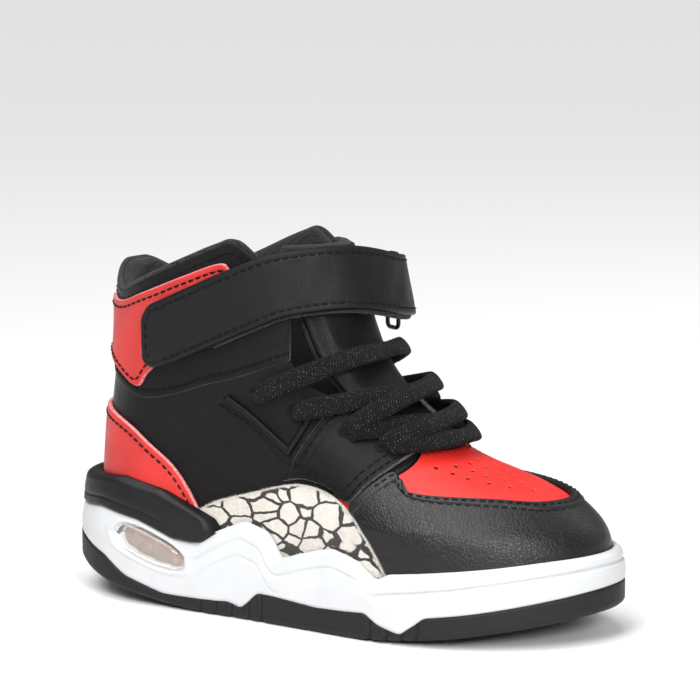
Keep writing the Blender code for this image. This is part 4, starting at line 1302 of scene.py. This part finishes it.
def make_midsole(mats):
    sigma = round_sigma(700)
    along = outline(sigma, 0)[2]
    floor = ground(along) + soft_table(WALL, along) + 0.12
    top, groove = soft_table(CUP_TOP, along), soft_table(GROOVE, along)
    rows = []
    for share in np.linspace(0, 1, 60):
        z = floor + share * (top - floor)
        near = ridge(z, groove, 0.5) * ease(along, 30, 36)
        echo = ridge(top - z, 5.2, 0.45) * ease(along, -42, -34) * (1 - ease(along, 22, 30))
        second = ridge(top - z, 10.4, 0.4) * ease(along, -38, -30) * (1 - ease(along, -6, 0))
        step = 0.5 * (1 - ease(z, groove - 0.6, groove + 0.4)) * ease(along, 30, 38)
        lines = 0.75 * near + 0.45 * echo + 0.35 * second - 0.35 * step
        inset = table(CUP_WALL, share) + lines + window_recess(along, z)
        rows.append(sole_row(sigma, inset, z))
    lip = upper_at_height(sigma, top + 0.35, 2.1)
    last = rows[-1]
    for share, lift in ((0.3, 0.38), (0.65, 0.5), (1.0, 0.0)):
        point = last * (1 - share) + lip * share
        point[:, 2] = top + lift
        rows.append(point)
    for drop in (2.0, 5.0):
        rows.append(upper_at_height(sigma, np.maximum(top - drop, floor_height(along) - 2), 2.1))
    rows.append(sole_row(sigma, 6.0, floor + 1.0))
    finish_piece(ring_mesh("midsole", rows, mats["white"]), nodes=["midsole"])


def window_recess(y, z):
    """How far the cup's wall is sunk for the window, with a raised lip round it."""
    ring = smooth(WINDOW + WINDOW[:1], 181)[:-1] - WINDOW_MIDDLE
    angle = np.arctan2(ring[:, 1], ring[:, 0])
    order = np.argsort(angle)
    reach = np.linalg.norm(ring, axis=1)[order]
    dy, dz = y - WINDOW_MIDDLE[0], z - WINDOW_MIDDLE[1]
    rim = np.interp(np.arctan2(dz, dy), angle[order], reach, period=2 * math.pi)
    share = np.hypot(dy, dz) / rim
    return 2.6 * (1 - ease(share, 0.93, 1.03)) - 0.35 * ridge(share, 1.12, 0.09)


# A window's pieces: name, look, how far each stands proud, and the height of its ribs
WINDOW_PARTS = (("air_window", "clear", 0.55, 0), ("air_film", "smoke", -1.1, 0.25))


def make_windows(mats):
    """The clear windows, and a ribbed film behind each."""
    ring = smooth(WINDOW + WINDOW[:1], 97)[:-1] - WINDOW_MIDDLE
    for side, name in SIDES:
        for kind, mat, proud, rib in WINDOW_PARTS:
            rows = []
            for grow in np.linspace(0.99, 0.02, 26):
                y, z = (WINDOW_MIDDLE + ring * grow).T
                sigma = np.arccos(y / HALF) / math.pi * side
                bulge = proud - 2.0 * grow**6 - rib * np.cos(y / 3.4 * math.pi)
                rows.append(np.stack([outline(sigma, 0.0)[0] + side * (bulge - 0.3), y, z], 1))
            piece = ring_mesh(f"{kind}_{name}", rows, mats[mat], closed_section=False)
            nodes = [f"air_window_{name}"] if kind == "air_window" else []
            finish_piece(piece, nodes=nodes)


def make_heel_block(mats):
    start = math.acos(BLOCK_FRONT / HALF) / math.pi
    sigma = np.linspace(start, 2 - start, 420)
    sigma = np.where(sigma > 1, sigma - 2, sigma)
    along = outline(sigma, 0)[2]
    bottom = soft_table(CUP_TOP, along) + 0.25
    top = np.maximum(soft_table(BLOCK_TOP, along), bottom + 0.7)
    rise = (top - bottom) * ease(-along, -BLOCK_FRONT, 4 - BLOCK_FRONT)
    slope = 0.25 + 0.75 * ease(-along, 34, 60)
    rows = []
    for share in np.linspace(0, 1, 36):
        rib = 0.35 * ridge(share, 0.3, 0.035) * ease(-along, 45, 56)
        inset = (table(BLOCK_WALL, share) + rib) * slope
        rows.append(sole_row(sigma, inset, bottom + share * rise))
    for share, lift in ((1.0, 0.2), (0.5, 0.0), (0.0, 0.0)):
        rows.append(upper_at_height(sigma, bottom + share * rise + lift, 2.0))
    piece = ring_mesh("heel_block", rows, mats["block"], loop=False)
    finish_piece(piece, nodes=["heel_block"])


# ---------------------------------------------------------------- stage

TARGET = Vector((0, 0, 0.05))
AZIMUTH, ELEVATION, DISTANCE, LENS = 121.0, 8.0, 0.9, 144.4
AIM_RIGHT, AIM_UP = 0.0025, 0.0329
FLOOR_HALF, FLOOR_ALBEDO = 40.0, 0.86
WORLD_STRENGTH = 0.22
SUN_STRENGTH, SUN_ANGLE, SUN_PLACE = 2.25, 50, (0.25, -0.15, 1.0)
# Area lights: place, size in metres, and watts
LIGHTS = {
    "key": ((1.0, 0.15, 0.85), (0.45, 0.45), 8),
    "front": ((0.9, 1.0, 0.62), (0.4, 0.35), 13),
    "rim": ((-0.9, 0.6, 0.9), (0.6, 0.9), 3),
}


def add_object(name, data):
    obj = bpy.data.objects.new(name, data)
    bpy.context.scene.collection.objects.link(obj)
    return obj


def facing(way):
    """The rotation of a camera or light that looks against a direction."""
    return Vector(way).to_track_quat("Z", "Y").to_euler()


def make_camera():
    turn, rise = math.radians(AZIMUTH), math.radians(ELEVATION)
    flat = math.cos(rise)
    away = Vector((math.sin(turn) * flat, -math.cos(turn) * flat, math.sin(rise)))
    right = Vector((0, 0, 1)).cross(away).normalized()
    aim = TARGET + away.cross(right) * AIM_UP + right * AIM_RIGHT
    data = bpy.data.cameras.new("camera")
    data.lens, data.sensor_width, data.clip_start = LENS, 36.0, 0.01
    camera = add_object("camera", data)
    camera.location = aim + away * DISTANCE
    camera.rotation_euler = facing(away)
    bpy.context.scene.camera = camera


def make_stage():
    white = (FLOOR_ALBEDO,) * 3
    mesh = bpy.data.meshes.new("floor")
    corners = [(-1, -1), (1, -1), (1, 1), (-1, 1)]
    mesh.from_pydata([(x * FLOOR_HALF, y * FLOOR_HALF, 0) for x, y in corners], [], [(0, 1, 2, 3)])
    mesh.materials.append(Shade("pale_floor", white, 0.9, Specular_IOR_Level=0.1).mat)
    add_object("floor", mesh)
    bpy.context.scene.view_settings.view_transform = "Standard"
    world = bpy.data.worlds.new("studio")
    bpy.context.scene.world = world
    world.use_nodes = True
    back = world.node_tree.nodes["Background"]
    back.inputs["Color"].default_value = (1, 1, 1, 1)
    back.inputs["Strength"].default_value = WORLD_STRENGTH
    sun = bpy.data.lights.new("overhead", "SUN")
    sun.energy, sun.angle = SUN_STRENGTH, math.radians(SUN_ANGLE)
    add_object("overhead", sun).rotation_euler = facing(SUN_PLACE)
    for name, (place, (wide, high), watts) in LIGHTS.items():
        data = bpy.data.lights.new(name, "AREA")
        data.shape, data.size, data.size_y, data.energy = "RECTANGLE", wide, high, watts
        light = add_object(name, data)
        light.location = place
        light.rotation_euler = facing(Vector(place) - TARGET)


# ---------------------------------------------------------------- the whole shoe

# Looks of the CAD nodes that stay, in view or inside
KEPT_NODES = {
    "insole_board": "sock", "toe_puff": "sock", "heel_counter": "sock", "vamp_lining": "mesh",
    "ring_tab": "black",
}
# Each group of seams with its thread and body
THREADS = (
    ("dark", "dark_thread", "root"), ("red", "red_thread", "root"),
    ("glint", "grey_thread", "root"), ("tongue", "dark_thread", "tongue"),
)


def main():
    mats = make_materials()
    seams = {key: [] for key, _, _ in THREADS}
    make_quarters(mats, seams)
    make_vamp(mats, seams)
    make_overlays(mats, seams)
    make_toe_cap(mats, seams)
    make_back_stay(mats, seams)
    make_eyelets(mats)
    make_collar(mats)
    make_tongue(mats, seams)
    make_footbed(mats)
    make_laces(mats)
    make_strap(mats)
    make_outsole(mats)
    make_midsole(mats)
    make_windows(mats)
    make_heel_block(mats)
    for key, mat, body in THREADS:
        finish_piece(stitches(f"{key}_stitches", seams[key], mats[mat]), body)
    for node, key in KEPT_NODES.items():
        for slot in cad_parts[node].material_slots:
            slot.material = mats[key]
    make_stage()
    make_camera()


main()
